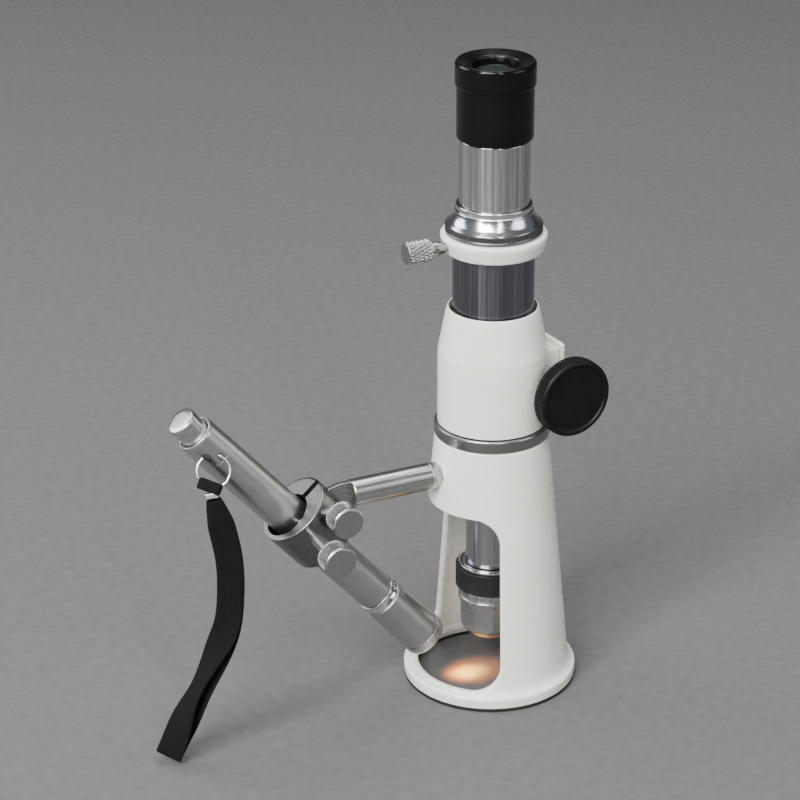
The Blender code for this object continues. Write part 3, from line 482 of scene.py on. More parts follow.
def set_camera():
    """A long lens, above the table and off to the screw side."""
    data = bpy.data.cameras.new("camera")
    data.lens = VIEW_LENS
    data.sensor_width = VIEW_SENSOR
    data.clip_end = 50
    camera = bpy.data.objects.new("camera", data)
    bpy.context.collection.objects.link(camera)
    aim = Matrix.Rotation(math.radians(VIEW_TURN), 4, "Z") @ Matrix.Rotation(
        math.radians(90 - VIEW_DROP), 4, "X",
    )
    roll = Matrix.Rotation(math.radians(VIEW_ROLL), 4, "Z")
    spot = (np.array(VIEW_SPOT) + COLUMN) * MM
    camera.matrix_world = Matrix.Translation(spot.tolist()) @ aim @ roll
    bpy.context.scene.camera = camera


# ---------------------------------------------------------------- strap, keeper and ring


def smooth_route(points, steps):
    """A Catmull-Rom curve through the points: each span blends its four nearest points with cubics."""
    line = np.asarray(points, float)
    line = np.concatenate([[2 * line[0] - line[1]], line, [2 * line[-1] - line[-2]]])
    a, b, c, d = (line[k : len(line) - 3 + k, None, :] for k in range(4))
    t = np.linspace(0, 1, steps, endpoint=False)[None, :, None]
    bend = (2 * a - 5 * b + 4 * c - d) * t**2 + (3 * b - a - 3 * c + d) * t**3
    curve = 0.5 * (2 * b + (c - a) * t + bend)
    return np.concatenate([curve.reshape(-1, 3), line[-2:-1]])


def strap_frames():
    """The strap's middle line with its width and thickness directions: down one leg, round the fold and up
    the other. The width turns about the line by a twist that rises and eases again, a bell curve of the
    share done."""
    line = smooth_route(np.array(STRAP_ROUTE) / MM, 10)
    forward = np.gradient(line, axis=0)
    forward /= np.linalg.norm(forward, axis=1)[:, None]
    share = np.linspace(0, 1, len(line))
    turn = np.radians(STRAP_TWIST * np.exp(-(((share - 0.74) / 0.15) ** 2)))[:, None]
    flat = np.cross(FACING, forward)
    flat /= np.linalg.norm(flat, axis=1)[:, None]
    wide = flat * np.cos(turn) + np.cross(forward, flat) * np.sin(turn)
    thick = np.cross(wide, forward)
    apart = (STRAP_GAP / 2 * np.clip(0.55 + share * 6, 0, 1))[:, None]
    near, far = line + thick * apart, line - thick * apart
    a = np.linspace(0, math.pi, 14)[1:-1, None]
    fold_out = thick[-1] * np.cos(a) + forward[-1] * np.sin(a)
    fold = line[-1] + fold_out * STRAP_GAP / 2
    middle = np.concatenate([near, fold, far[::-1]])
    widths = np.concatenate([wide, np.repeat(wide[-1:], len(fold), 0), wide[::-1]])
    outs = np.concatenate([thick, fold_out, -thick[::-1]])
    return middle, widths, outs


def make_strap():
    """Flat webbing: a rounded band section with raised cords across its width, carried along the route."""
    middle, wide, out = strap_frames()
    across = np.linspace(-1, 1, 61)
    edge = np.sqrt(np.clip(1 - np.abs(across) ** 8, 0, 1))
    cords = 0.10 * np.abs(np.cos(across * math.pi * 4.5)) * edge
    upper = np.stack([across * STRAP_W / 2, edge * (STRAP_T / 2 - 0.1) + cords], 1)
    lower = upper[::-1][1:-1] * [1, -1]
    section = np.concatenate([upper, lower])
    share = np.linspace(0, 1, len(middle))
    gather = (0.52 + 0.48 * np.clip(np.minimum(share, 1 - share) / 0.055, 0, 1) ** 0.8)[:, None, None]
    grid = middle[:, None] + wide[:, None] * section[
        None, :, :1,
    ] * gather + out[:, None] * section[None, :, 1:]
    ends = [np.repeat(grid[k].mean(0)[None, None], len(section), 1) for k in (0, -1)]
    band = surface("strap_webbing", np.concatenate([ends[0], grid, ends[1]]))
    finish_piece(band, WEBBING, "pen_light", "wrist_strap", slot="webbing")

    where = place(KEEPER, (0.475, 0.2, 0.857), KEEPER_WIDTH)
    outline = rounded_box(4.15, 2.1, 1.3)
    keeper = extruded("strap_loop", outline, -2.2, 1.7, where, 0.7, 4)
    finish_piece(keeper, WEBBING, "pen_light", "strap_keeper", slot="webbing")
    tie = extruded(
        "strap_tie", rounded_box(2.4, 1.5, 0.8), -4.4, -2.5,
        place(KEEPER, (0.02, 0.33, 0.94), KEEPER_WIDTH), 0.3,
    )
    finish_piece(tie, ALLOY, "pen_light", slot="webbing")

    a, b = np.arange(24) * TAU / 24, np.arange(96) * TAU / 96
    radius = RING_R + RING_WIRE * np.cos(a)[:, None]
    loop = np.stack(
        [radius * np.cos(b), radius * np.sin(b), np.repeat(RING_WIRE * np.sin(a)[:, None], 96, 1)], 2,
    )
    ring = surface("lanyard_ring_wire", loop, wrap_u=True, where=RING)
    finish_piece(ring, CHROME, "lanyard", "lanyard_ring", slot="bright_chrome")


# ---------------------------------------------------------------- stand


def cone_r(z):
    return CONE_TOP_R + CONE_SLOPE * (CONE_TOP_Z - z)


def casting_wall():
    """The windowed wall. Rays run out from the window's middle in the plane of (angle, height). Each starts on
    the rounded window edge and ends on the edge of the developed wall, a rectangle half a turn to each side.
    The same grid is laid on the outer and inner radius and joined round the window by a rounded rim."""
    low, high = 3.0, CONE_TOP_Z
    middle = (WINDOW["low"] + WINDOW["high"]) / 2
    mean_r = 24.0
    half_w, half_h, corner = WINDOW["half"] * mean_r, (WINDOW["high"] - WINDOW["low"]) / 2, WINDOW["corner"]
    edge = rounded_box(half_w, half_h, corner, 24)
    closed = np.concatenate([edge, edge[:1]])
    run = np.concatenate([[0], np.cumsum(np.linalg.norm(np.diff(closed, axis=0), axis=1))])
    dense = np.linspace(0, run[-1], 4000, endpoint=False)
    edge = np.stack([np.interp(dense, run, closed[:, k]) for k in (0, 1)], 1)
    scale_x, scale_up, scale_down = math.pi * mean_r, high - middle, middle - low
    scale_y = np.where(edge[:, 1] > 0, scale_up, scale_down)
    normal = edge / [scale_x, 1] / np.stack([np.ones(len(edge)), scale_y], 1)
    ray = np.arctan2(normal[:, 1], normal[:, 0])
    length = np.hypot(normal[:, 0], normal[:, 1])
    order = np.argsort(ray)
    count = 288
    aim = -math.pi + np.arange(count) * TAU / count
    start = np.interp(
        aim, np.concatenate([ray[order] - TAU, ray[order], ray[order] + TAU]), np.tile(length[order], 3),
    )
    stop = 1 / np.maximum(np.abs(np.cos(aim)), np.abs(np.sin(aim)))
    per_mm = 1 / np.hypot(
        np.cos(aim) * scale_x, np.sin(aim) * np.where(np.sin(aim) > 0, scale_up, scale_down),
    )
    share = np.linspace(0, 1, 56) ** 1.2
    rim = 0.9
    tilt = np.linspace(0, math.pi / 2, 5)
    rows = [(stop - (stop - start - rim * 1.3 * per_mm) * (1 - t), 0.0) for t in share[::-1]]
    rows += [(start + rim * (1 - math.sin(a)) * per_mm, rim * (1 - math.cos(a))) for a in tilt]
    rows += [(start + rim * (1 - math.cos(a)) * per_mm, WALL - rim * (1 - math.sin(a))) for a in tilt]
    rows += [(stop - (stop - start - rim * 1.3 * per_mm) * (1 - t), WALL) for t in share]
    grid = []
    for reach, depth in rows:
        x, y = reach * np.cos(aim), reach * np.sin(aim)
        z = middle + y * np.where(y > 0, scale_up, scale_down)
        angle = math.pi - x * math.pi
        flare = 1.6 * np.exp(-np.maximum(z - 5.6, 0) / 1.3) * (depth < 0.1)
        radius = cone_r(z) - depth + flare
        grid.append(np.stack([radius * np.cos(angle), radius * np.sin(angle), z], 1))
    wall = surface("casting_wall", np.array(grid), wrap_u=True)
    work = bmesh.new()
    work.from_mesh(wall.data)
    seam_x, seam_y = COLUMN[0] * MM, COLUMN[1] * MM
    seam = [f for f in work.faces if all(abs(v.co.y - seam_y) < 1e-6 and v.co.x > seam_x for v in f.verts)]
    bmesh.ops.delete(work, geom=seam, context="FACES")
    bmesh.ops.recalc_face_normals(work, faces=work.faces)
    work.to_mesh(wall.data)
    work.free()
    return wall


def make_stand():
    wall = casting_wall()
    finish_piece(wall, ENAMEL, "stand", "base_casting", slot="white_paint")
    flange = [
        (BORE_R, 1.2, 0.4), (BASE_R - 0.3, 1.2, 0.5), (BASE_R, 5.6, 1.9), (28.0, 6.0, 0.6),
        (26.4, 6.0, 0.5), (26.3, 3.6, 0.4),
    ]
    finish_piece(turned("casting_flange", flange, steps=160, arc=6), ENAMEL, "stand", slot="white_paint")
    web = [(17.3, 97.3, 0.5), (17.3, 90.0, 0.3), (15.5, 88.0, 0.3), (19.4, 88.0, 1), (20.4, 97.35, 0.3)]
    finish_piece(turned("casting_web", web, steps=96), ENAMEL, "stand", slot="white_paint")
    pad = [(BORE_R, 0, 0.1), (31.3, 0, 0.3), (31.5, 0.9, 0.2), (BORE_R, 0.9, 0.1)]
    finish_piece(turned("foot_pad", pad, steps=128), PAD, "stand", "base_pad", slot="pad_rubber")
    band = [
        (17.4, 97.7), (20.3, 97.7, 0.3), (20.6, 98.2, 0.3), (20.6, 101.8, 0.3), (20.3, 102.3, 0.3),
        (17.4, 102.3),
    ]
    finish_piece(turned("satin_joint_band", band, steps=128), BAND, "stand", "joint_band", slot="band_steel")

    outline = [
        (17.2, 102.65, 0.2), (19.45, 102.65, 0.5), (19.45, 127.5, 4.0), (19.3, 129.9, 0.9),
        (16.75, 143.5, 1.6),
    ]
    outline += [
        (16.0, 146.0, 1.2), (15.5, 146.0, 0.2), (15.5, 104.2, 0.3), (14.7, 103.7, 0.2), (14.7, 90.7, 0.2),
        (17.0, 90.7, 0.3),
    ]

    def boss(radius, height, angle):
        """Outwards towards the boss the wall follows the nearer of the block's flat front and side planes."""
        off = (angle - BOSS_TURN + math.pi) % TAU - math.pi
        front = BOSS_RHO / np.maximum(np.cos(off), 0.05)
        side = BOSS_HALF / np.maximum(np.abs(np.sin(off)), 1e-3)
        block = -0.5 * np.logaddexp(-front / 0.5, -side / 0.5)
        block = np.where(np.cos(off) > 0, block, 0)
        rise = 0.45 * np.logaddexp(block / 0.45, radius / 0.45) - radius
        above = 1 + np.exp(-(height - BOSS_LOW - 0.2) / 0.22)
        within = 1 / above / (1 + np.exp((height - BOSS_HIGH + 0.2) / 0.22))
        outer = np.clip((radius - 15.9) / 0.6, 0, 1)
        return radius + np.maximum(rise, 0) * within * outer

    profile = []
    for point in outline:
        profile.append(point)
        if point[1] == 102.65 and point[0] > 19:
            profile += [(19.45, z, 0) for z in np.r_[103.1:104.6:0.12, 105:127:2.0]]
    extra = [(19.38, z, 0) for z in np.r_[127.6:129.4:0.12]]
    at = next(k for k, point in enumerate(profile) if point[1] == 127.5)
    profile = profile[:at] + [(19.45, 127.2, 0)] + extra + profile[at + 1 :]
    body = turned("focus_housing", profile, steps=540, ripple=boss)
    finish_piece(body, ENAMEL, "stand", "focus_body", slot="white_paint")

    plate_where = place(
        put(np.array([BOSS_RHO + 0.3, 0, (BOSS_LOW + BOSS_HIGH) / 2]), BOSS), BOSS[1][0], BOSS[1][1],
    )
    plate = extruded("boss_cover", rounded_box(8.5, 12.9, 1.2), 0, 1.6, plate_where, 0.35)
    finish_piece(plate, ENAMEL, "stand", "pinion_cover", slot="white_paint")
    for number, (
        x, z,
    ) in enumerate(((x, z) for x in (-5.8, 5.8) for z in (BOSS_LOW + 3.2, BOSS_HIGH - 3.2)), 1):
        spot = place(put(np.array([BOSS_RHO + 0.3, x, z]), BOSS), BOSS[1][0], BOSS[1][1])
        head = [
            (0, -5), (1.0, -5, 0.2), (1.0, 1.9, 0), (1.95, 1.9, 0.1), (1.95, 2.7, 0.5), (0.9, 3.15, 0.2),
            (0.9, 2.4, 0.1), (0, 2.4),
        ]
        finish_piece(
            turned(f"cover_screw_head_{number}", head, spot, 32, 0.15), STEEL, "stand",
            f"cover_screw_{number}", slot="steel",
        )

    bush = [(14.66, 104.3), (15.1, 104.3), (15.1, 144.3, 0.15), (14.66, 144.3, 0.1)]
    finish_piece(
        turned("guide_bush_lip", bush, steps=96, default=0.1), STEEL, "stand", "guide_bush", slot="steel",
    )
    sleeve = [(2.2, 4.2), (3.1, 4.2), (3.1, 14.6, 0.3), (2.2, 14.6)]
    finish_piece(turned("pinion_sleeve", sleeve, PINION, 48), STEEL, "stand", "pinion_bush", slot="steel")


def make_arm():
    """A chamfered hexagon nut, and a round rod whose end is milled to a rounded tongue."""
    angle = np.arange(96) * TAU / 96
    flat = 4.0 / np.cos((angle + math.pi / 6) % (math.pi / 3) - math.pi / 6)
    rows = [(0.0, 21.1), (0.8, 21.1), (1.0, 21.2), (1.0, 23.9), (0.86, 24.3), (0.0, 24.3)]
    grid = []
    for share, z in rows:
        radius = flat * share if share == 1.0 else np.minimum(flat * share * 1.02, 4.1 * share + 0.2)
        radius = radius if share else radius * 0
        grid.append(np.stack([radius * np.cos(angle), radius * np.sin(angle), np.full(96, z)], 1))
    nut = surface("hexagon_nut", np.array(grid), where=ARM)
    nut.data.set_sharp_from_angle(angle=math.radians(24))
    finish_piece(nut, STEEL, "stand", "arm_nut", slot="steel")
    outline = [
        (0, 17.5), (2.2, 17.5), (2.2, 24.4, 0), (4.5, 24.4, 0.3), (4.9, 24.9, 0.3), (4.9, 55.2, 0.3),
        (4.6, 55.6, 0.2), (0, 55.6),
    ]
    rod = turned("arm_rod_round", outline, ARM, 72)
    finish_piece(rod, STEEL, "stand", "arm_rod", slot="steel")
    reach = PIVOT_S - ROD_END
    turn = np.radians(np.linspace(10, 170, 24))
    tip = np.stack([3.2 * np.cos(turn), reach + 3.2 * np.sin(turn)], 1)
    blade = np.concatenate([
        [[-4.75, -0.2], [4.75, -0.2], [4.75, 2.0], [4.75, 4.5]], tip, [[-4.75, 4.5], [-4.75, 2.0]],
    ])
    where = place(put(np.array([0, 0, ROD_END]), ARM), (0, -1, 0), (0, 0, 1))
    tongue = extruded("arm_tongue", blade, -1.0, 1.0, where, 0.2)
    tongue.data.set_sharp_from_angle(angle=math.radians(30))
    finish_piece(tongue, NICKEL, "stand", slot="steel")


# ---------------------------------------------------------------- tube, drive and eyepiece


def make_tube():
    tube = [(13.0, 92.0), (TUBE_R, 92.0), (TUBE_R, 173.0), (13.0, 173.0)]
    finish_piece(
        turned("polished_main_tube", tube, steps=144), DARK_TUBE, "tube", "main_tube", slot="dark_chrome",
    )
    collar = [
        (14.65, 167.0), (17.3, 167.0, 0.9), (18.6, 171.6, 1.0), (18.6, 173.0, 0.7), (17.9, 173.6, 0.5),
        (14.65, 173.6),
    ]
    finish_piece(
        turned("tube_collar", collar, steps=128, arc=6), ENAMEL, "tube", "collar_ring", slot="white_paint",
    )
    nose = [(7.9, 46.3), (9.05, 46.3), (9.05, 90.5, 0.5), (12.7, 92.3), (12.7, 100.0), (7.9, 100.0)]
    finish_piece(turned("nose_barrel", nose, steps=96), NOSE, "tube", "nose_tube", slot="bright_chrome")
    shell = [
        (6.4, 17.5, 0.2), (8.2, 17.5, 0.4), (8.9, 18.2, 0.5), (10.9, 20.6, 0.6), (10.9, 31.0, 0.2),
        (11.6, 31.3, 0.2),
    ]
    shell += [
        (11.6, 32.9, 0.2), (11.1, 33.2, 0.1), (11.1, 33.9, 0.1), (11.6, 34.2, 0.2), (11.6, 36.1, 0.2),
        (10.4, 36.3, 0),
    ]
    shell += [(10.4, 46.0), (7.6, 46.0), (7.6, 52.0), (6.4, 52.0)]
    finish_piece(
        turned("objective_body", shell, steps=112), OBJECTIVE, "tube", "objective_shell", slot="alloy",
    )
    grip = [(10.7, 36.6), (GRIP_R, 36.6, 0.3)] + [(GRIP_R, z, 0) for z in np.linspace(37.2, 44.2, 30)]
    grip += [(GRIP_R, 44.8, 0.3), (10.7, 44.8)]
    knurling = knurl(60, 1.5, 0.22, GRIP_R, 37.0, 44.4)
    finish_piece(
        turned("objective_knurl", grip, steps=360, ripple=knurling), GRIP, "tube", "objective_grip",
        slot="grip",
    )
    ring = [(10.7, 45.1), (11.6, 45.1, 0.2), (11.6, 46.0, 0.2), (10.7, 46.0)]
    finish_piece(
        turned("objective_seat", ring, steps=96), CHROME, "tube", "objective_ring", slot="bright_chrome",
    )

    outline = [
        (0, 14.8), (1.4, 14.8), (1.4, 18.9, 0), (1.9, 19.2, 0.2), (2.5, 22.2, 0.4), (2.3, 24.2, 0.3),
        (3.7, 24.7, 0.4),
    ]
    outline += [(SCREW_R, z, 0) for z in np.linspace(25.2, 33.3, 34)] + [
        (3.7, 33.9, 0.3), (3.0, 34.0, 0.2), (0, 34.0),
    ]
    knurling = knurl(18, 3.4, 0.6, SCREW_R, 25.0, 33.6)
    screw = turned("collar_thumb_screw", outline, COLLAR_SCREW, 208, ripple=knurling)
    finish_piece(screw, NICKEL, "collar_screw", "collar_screw", slot="steel")


def make_drive():
    face = KNOB_BACK + 6.0
    outline = [
        (2.2, 15.0), (5.6, 15.0, 0.4), (6.3, KNOB_BACK, 0.3), (13.6, KNOB_BACK, 0.4),
        (KNOB_R, KNOB_BACK + 0.6, 0.3),
    ]
    outline += [(KNOB_R, z, 0) for z in np.linspace(KNOB_BACK + 0.9, face - 1.2, 6)]
    outline += [(14.1, face - 0.8, 0.2), (13.3, face, 0.5), (12.3, face, 0.4), (11.8, face - 0.75, 0.4)]
    outline += [(0, face - 0.7), (0, KNOB_BACK + 3.8), (2.2, KNOB_BACK + 3.8)]
    ribbing = ribs(80, 0.6, KNOB_R, KNOB_BACK + 0.5, face - 0.7, 0.8, 0.4)
    knob = turned("ribbed_focus_knob", outline, PINION, 540, ripple=ribbing)
    finish_piece(knob, KNOB, "pinion", "focus_knob", slot="knob")


def make_eyepiece():
    grip = [(16.2, 173.9), (16.9, 173.9, 0.15), (17.0, 174.6, 0.15), (16.8, 174.9, 0.1)]
    grip += [(HOLDER_R, z, 0) for z in np.linspace(175.0, 176.6, 5)] + [
        (16.75, 176.85, 0.15), (16.2, 176.9, 0),
    ]
    # The ribbed rim takes a darkened copy of the dish's chrome: painted shade in the colour, with real ribs.
    knurling = ribs(120, 0.3, HOLDER_R, 174.9, 176.8, 0.7, 0.2)
    holder = turned("eyepiece_holder_grip", grip, steps=720, default=0.2, ripple=knurling)
    finish_piece(holder, HOLDER_GRIP_PAINTED_DARK, "eyepiece_mount", slot="bright_chrome")
    lip = [
        (12.6, 174.2), (16.1, 174.2, 0.15), (16.1, 176.9, 0), (16.6, 176.95, 0.15), (16.3, 177.3, 0.3),
        (15.2, 178.4, 0.5), (14.4, 179.7, 0.5), (13.85, 181.0, 0.5), (13.6, 182.0, 0.2),
    ]
    lip += [(13.2, 182.25, 0.1), (13.3, 182.6, 0.2), (13.3, 184.0, 0.3), (12.6, 184.2, 0.1)]
    dish = turned("eyepiece_holder", lip, steps=192, default=0.2)
    finish_piece(dish, DISH, "eyepiece_mount", "eyepiece_flange", slot="bright_chrome")
    draw = [(11.65, 155.0), (DRAW_R, 155.0), (DRAW_R, 207.2, 0.3), (11.65, 207.2)]
    finish_piece(
        turned("sliding_draw_tube", draw, steps=144), DRAW, "eyepiece_mount", "draw_tube",
        slot="bright_chrome",
    )

    cap = [(10.9, 207.5), (12.9, 207.5, 0.5), (CAP_R, 208.1, 0.4), (CAP_R, 225.9, 0.3), (CUP_R, 226.5, 0.3)]
    cap += [
        (CUP_R, CAP_TOP - 0.9, 0.6), (13.2, CAP_TOP, 0.5), (12.5, CAP_TOP - 0.1, 0.3),
        (8.9, CAP_TOP - 1.2, 0.3), (8.6, CAP_TOP - 1.7, 0.15),
    ]
    cap += [(8.0, CAP_TOP - 1.7, 0.15), (8.0, CAP_TOP - 8.0, 0.2), (10.9, CAP_TOP - 9.0)]
    finish_piece(turned("eyepiece_cup", cap, steps=160, arc=6), CAP, "eyepiece", "eyepiece_cap", slot="cap")
    outline = [(0, CAP_TOP - 6.8), (7.7, CAP_TOP - 6.0, 0.1), (7.7, CAP_TOP - 4.0, 0.1)]
    outline += [(
        r, CAP_TOP - 2.4 - (r / 7.7) ** 2 * 1.6, 0,
    ) for r in np.linspace(7.3, 0.4, 12)] + [(0, CAP_TOP - 2.4)]
    finish_piece(
        turned("eye_lens_glass", outline, steps=96), EYE_LENS, "eyepiece", "eye_lens", slot="optical_glass",
    )


# ---------------------------------------------------------------- clamp and its screws


def make_clamp():
    """A split ring: its inner wall is a circle on the clamp's axis, its outer wall a circle 2.9 to the side.
    Sections run round from one slit face to the other, and both ends are pressed flat on the slit faces."""
    bore, outer, shift, low, high, half = 8.65, 13.2, 2.9, 90.6, 108.5, 1.3
    section = soften([(0, low, 0.4), (1, low, 0.6), (1, high, 0.6), (0, high, 0.4)], 0.5, 4)
    local = soften([(0, low), (4.5, low), (4.5, high), (0, high)], 0.55, 4)
    depth = local[:, 0] / 4.5
    start = math.asin(half / bore)
    angle = np.linspace(start, TAU - start, 150)
    outer_r = shift * np.cos(angle) + np.sqrt(outer**2 - (shift * np.sin(angle)) ** 2)
    radius = bore + (outer_r - bore)[None, :] * depth[:, None]
    x, y = radius * np.cos(angle), radius * np.sin(angle)
    y[:, 0], y[:, -1] = half, -half
    x[:, 0] = x[:, -1] = np.sqrt(np.maximum(radius[:, 0] ** 2 - half**2, 0))
    z = np.repeat(local[:, 1:], len(angle), 1)
    grid = np.stack([x, y, z], 2).transpose(1, 0, 2)
    ends = [np.repeat(grid[k].mean(0)[None, None], grid.shape[1], 1) for k in (0, -1)]
    ring = surface("split_clamp", np.concatenate([ends[0], grid, ends[1]]), where=CLAMP)
    ring.data.set_sharp_from_angle(angle=math.radians(40))
    finish_piece(ring, CLAMP_NICKEL, "clamp", "clamp_ring", slot="steel")
    # A thin black sleeve laid inside the steel bore: painted shade for the inside of the clamp.
    bore_shade = turned(
        "clamp_bore_painted_shade", [(8.56, 91.3), (8.66, 91.3), (8.66, 107.8), (8.56, 107.8)], CLAMP, 96, 0.02,
    )
    finish_piece(bore_shade, MATT_BLACK_AND_SHADE, "clamp", slot="steel")

    def thumb(name, where, spans, body):
        """Shank, collar and a head with lengthwise ribs, its rims plain and bright."""
        outline = [(0, spans[0][1])]
        for radius, foot, top in spans[:-1]:
            outline += [(radius, foot, 0.15), (radius, top, 0.25)]
        radius, foot, top = spans[-1]
        outline += [(radius - 0.6, foot, 0.2), (radius, foot + 0.5, 0.2)]
        outline += [(radius, height, 0) for height in np.linspace(foot + 0.8, top - 1.0, 6)]
        outline += [(radius, top - 0.7, 0.15), (radius - 0.5, top, 0.3), (0, top)]
        piece = turned(
            name, outline, where, 360, 0.2, ripple=ribs(36, 0.65, radius, foot + 0.3, top - 0.8, 0.7, 0.35),
        )
        finish_piece(piece, NICKEL, body, body, slot="steel")

    thumb(
        "swivel_thumb_screw", SWIVEL, ((1.65, -8.0, 9.2), (2.6, 9.5, 14.3), (THUMB_R, 14.5, 22.0)),
        "swivel_screw",
    )
    thumb(
        "light_thumb_screw", LIGHT_SCREW, ((1.4, 6.0, 20.3), (2.3, 20.5, 32.3), (THUMB_R, 32.5, 40.0)),
        "light_screw",
    )


# ---------------------------------------------------------------- pen light


def make_light():
    barrel = [(5.9, 57.0), (LIGHT_R, 57.0, 0.15), (LIGHT_R, 146.34, 0.07), (5.9, 146.34)]
    finish_piece(turned("light_tube", barrel, LIGHT, 112), ALLOY, "pen_light", "light_barrel", slot="alloy")
    head = [
        (6.3, 30.6), (8.1, 30.6, 0.2), (LIGHT_HEAD_R, 30.9, 0.2), (8.05, 36.0, 0), (7.85, 42.0, 0),
        (7.55, 52.6, 0.2), (7.3, 53.0, 0.2), (5.9, 53.0), (5.9, 36.6),
    ]
    finish_piece(turned("light_cone", head, LIGHT, 112), ALLOY, "pen_light", "light_head", slot="alloy")
    bezel = [
        (5.6, 26.5, 0.3), (6.2, 26.0, 0.3), (7.5, 26.0, 0.5), (8.2, 26.7, 0.5), (LIGHT_HEAD_R, 30.3, 0.2),
        (6.6, 30.3), (6.6, 28.0), (5.6, 27.5),
    ]
    finish_piece(
        turned("light_front_ring", bezel, LIGHT, 112), BRIGHT_ALLOY, "pen_light", "light_bezel",
        slot="alloy",
    )
    trim = [
        (5.9, 53.3), (7.3, 53.3, 0.2), (7.5, 53.8, 0.2), (7.2, 54.5, 0.2), (7.1, 55.0, 0.1),
        (7.3, 55.5, 0.2), (7.2, 56.7, 0.2), (5.9, 56.7),
    ]
    finish_piece(
        turned("light_seam_ring", trim, LIGHT, 112), CHROME, "pen_light", "light_trim_ring",
        slot="bright_chrome",
    )
    window = [(0, 28.3), (6.2, 28.3, 0.1), (6.2, 29.9, 0.1), (0, 29.9)]
    finish_piece(
        turned("light_lens", window, LIGHT, 80), LENS, "pen_light", "light_window", slot="optical_glass",
    )
    bulb = [
        (0, 34.6), (1.0, 35.0, 0.3), (1.5, 36.2, 0.3), (1.5, 43.0, 0), (2.6, 43.0, 0.2), (2.6, 50.5, 0.3),
        (1.0, 52.6, 0.3), (0, 52.6),
    ]
    finish_piece(
        turned("light_filament_bulb", bulb, LIGHT, 48), LIT_GLASS, "pen_light", "light_bulb",
        slot="optical_glass",
    )

    tail = [(0, 146.36), (LIGHT_R, 146.36, 0.07), (6.9, 157.3, 0.4), (6.55, 158.15, 0.4), (6.2, 158.2, 0.2)]
    tail += [(5.4, 157.4, 0.2), (5.4, 154.6), (0, 154.6)]
    finish_piece(turned("light_tail_piece", tail, LIGHT, 112), ALLOY, "pen_light", "light_tail", slot="alloy")
    for number, degrees in enumerate((-27.0, 27.0), 1):
        make_tunnel_mouth(number, degrees)
    button = [
        (0, 156.5), (5.1, 156.5, 0.2), (5.1, 162.6, 0.1), (5.35, 162.9, 0.2), (5.35, 165.0, 0.3),
        (5.0, 165.6, 0.3), (3.5, 165.85, 0.3), (0, 165.9),
    ]
    finish_piece(
        turned("light_button", button, LIGHT, 80), BRIGHT_ALLOY, "tail_button", "tail_button", slot="alloy",
    )


def make_tunnel_mouth(number, degrees):
    """An oval countersink where the ring enters the tail: a shallow saucer laid on the round surface, coloured
    black as painted shade for the hole.
    """
    ring_axes = RING[1]
    inward = put(np.array([0, 0, 147.0]), LIGHT) - RING[0]
    flat = inward - ring_axes[2] * inward.dot(ring_axes[2])
    base = math.atan2(flat.dot(ring_axes[1]), flat.dot(ring_axes[0]))
    a = base + math.radians(degrees)
    point = put(np.array([RING_R * math.cos(a), RING_R * math.sin(a), 0.0]), RING)
    local = (point - LIGHT[0]) @ LIGHT[1].T
    around = math.atan2(local[1], local[0])
    turn = np.arange(32) * TAU / 32
    grid = []
    for share, lift in (
        (0.0, -0.35), (0.5, -0.3), (0.8, -0.1), (1.0, 0.03), (1.15, 0.02), (1.25, -0.2), (0.6, -0.6),
        (0.0, -0.7),
    ):
        along = local[2] + 1.5 * share * np.sin(turn)
        side = around + 1.0 * share * np.cos(turn) / LIGHT_R
        radius = 6.97 + lift
        grid.append(np.stack([radius * np.cos(side), radius * np.sin(side), along], 1))
    mouth = surface(f"tunnel_mouth_{number}", np.array(grid), where=LIGHT)
    # The black here is painted shade for the hole into the tail.
    finish_piece(mouth, MATT_BLACK_AND_SHADE, "pen_light", slot="alloy")


# ---------------------------------------------------------------- inner CAD pieces, floor and light


def dress_inner_nodes():
    """Pieces that mostly stay out of sight keep their CAD shape and take a worked material."""
    finishes = {
        "rack_bar": BRASS,
        "tube_stop": MATT_BLACK_AND_SHADE,
        "objective_front_lens": LENS,
        "objective_rear_lens": LENS,
        "pinion_shaft": STEEL,
        "eyepiece_barrel": MATT_BLACK_AND_SHADE,
        "field_lens": LENS,
        "reticle_glass": LENS,
        "reticle_ring": BRASS,
        "light_reflector": MIRROR,
        "light_cell_1": CELL,
        "light_cell_2": CELL,
        "light_spring": STEEL,
    }
    for name, material in finishes.items():
        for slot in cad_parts[name].material_slots:
            slot.material = material


def area_light(name, spot, target, size, power, colour=(1, 1, 1), height=None):
    data = bpy.data.lights.new(name, "AREA")
    data.shape = "RECTANGLE"
    data.size, data.size_y = size, height or size
    data.energy = power
    data.color = colour
    lamp = bpy.data.objects.new(name, data)
    bpy.context.collection.objects.link(lamp)
    spot, target = Matrix.Translation(spot).translation, Matrix.Translation(target).translation
    lamp.location = spot
    lamp.rotation_euler = (target - spot).to_track_quat("-Z", "Y").to_euler()
    return lamp


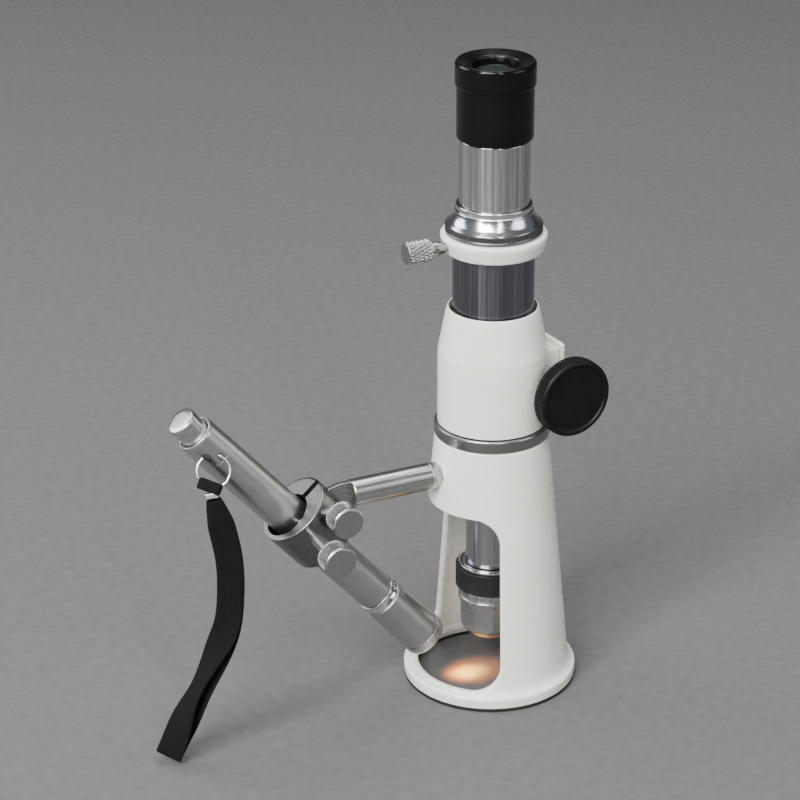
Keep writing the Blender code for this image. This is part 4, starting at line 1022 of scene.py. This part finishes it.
def set_stage():
    """A plain grey sweep, soft boxes round the instrument and the pen light's own warm beam."""
    run = np.linspace(0, 1, 40)
    curve = np.clip((run - 0.55) / 0.25, 0, 1)
    reach = np.where(run < 0.55, -2500 + run / 0.55 * 4000, 1500 + 900 * np.sin(curve * math.pi / 2))
    rise = np.where(run < 0.55, 0, 900 * (1 - np.cos(curve * math.pi / 2))) + np.maximum(run - 0.8, 0) * 9000
    across = np.linspace(-3500, 3500, 30)
    turn_cos, turn_sin = math.cos(math.radians(VIEW_TURN)), math.sin(math.radians(VIEW_TURN))
    x = turn_cos * across[None, :] - turn_sin * reach[:, None]
    y = turn_sin * across[None, :] + turn_cos * reach[:, None]
    grid = np.stack([x, y, np.repeat(rise[:, None], 30, 1)], 2)
    sweep = surface("sweep", grid, wrap_v=False)
    if sweep.data.polygons[0].normal.z < 0:
        sweep.data.flip_normals()
    cloth = Finish("grey_sweep", (0.100, 0.095, 0.097), 0.85)
    cloth.shades(cloth.noise(size=240, detail=4), (0.3, (0.089, 0.084, 0.087)), (0.7, (0.109, 0.103, 0.106)))
    cloth.relief(cloth.noise(size=900, detail=3), 0.1, 0.0002)
    sweep.data.materials.append(cloth.material)

    world = bpy.data.worlds.new("studio")
    bpy.context.scene.world = world
    world.use_nodes = True
    world.node_tree.nodes["Background"].inputs["Color"].default_value = (0.8, 0.85, 0.95, 1)
    world.node_tree.nodes["Background"].inputs["Strength"].default_value = 0.14

    middle = (COLUMN * MM + [-0.02, 0, 0.1]).tolist()
    area_light("key", (-1.1, -0.9, 1.3), middle, 0.9, 55, (1.0, 0.98, 0.95))
    area_light("fill", (1.2, -1.2, 0.8), middle, 1.0, 10, (0.95, 0.97, 1.0))
    area_light("top", (0.1, 0.3, 1.8), middle, 1.4, 34)
    area_light("rim", (-0.9, 0.9, 0.7), middle, 0.7, 10, (0.9, 0.95, 1.0))
    area_light("strip_left", (-1.09, -0.50, 0.9), middle, 0.18, 14, (1, 1, 1), 1.2)
    area_light("strip_front", (-0.18, -1.2, 1.0), middle, 0.12, 8, (1, 1, 1), 1.2)

    for name, watts, colour, degrees in (
        ("beam", 0.8, (1.0, 0.58, 0.08), 26), ("beam_edge", 0.4, (1.0, 0.27, 0.0), 44),
    ):
        beam = bpy.data.lights.new(name, "SPOT")
        beam.energy = watts
        beam.color = colour
        beam.spot_size = math.radians(degrees)
        beam.spot_blend = 1.0
        beam.shadow_soft_size = 0.0015
        lamp = bpy.data.objects.new(name, beam)
        bpy.context.collection.objects.link(lamp)
        lamp.location = ((put(np.array([0, 0, 25.0]), LIGHT) + COLUMN) * MM).tolist()
        lamp.rotation_euler = Matrix(LIGHT[1].T.tolist()).to_euler()


set_camera()
make_strap()
make_stand()
make_arm()
make_tube()
make_drive()
make_eyepiece()
make_clamp()
make_light()
dress_inner_nodes()
set_stage()
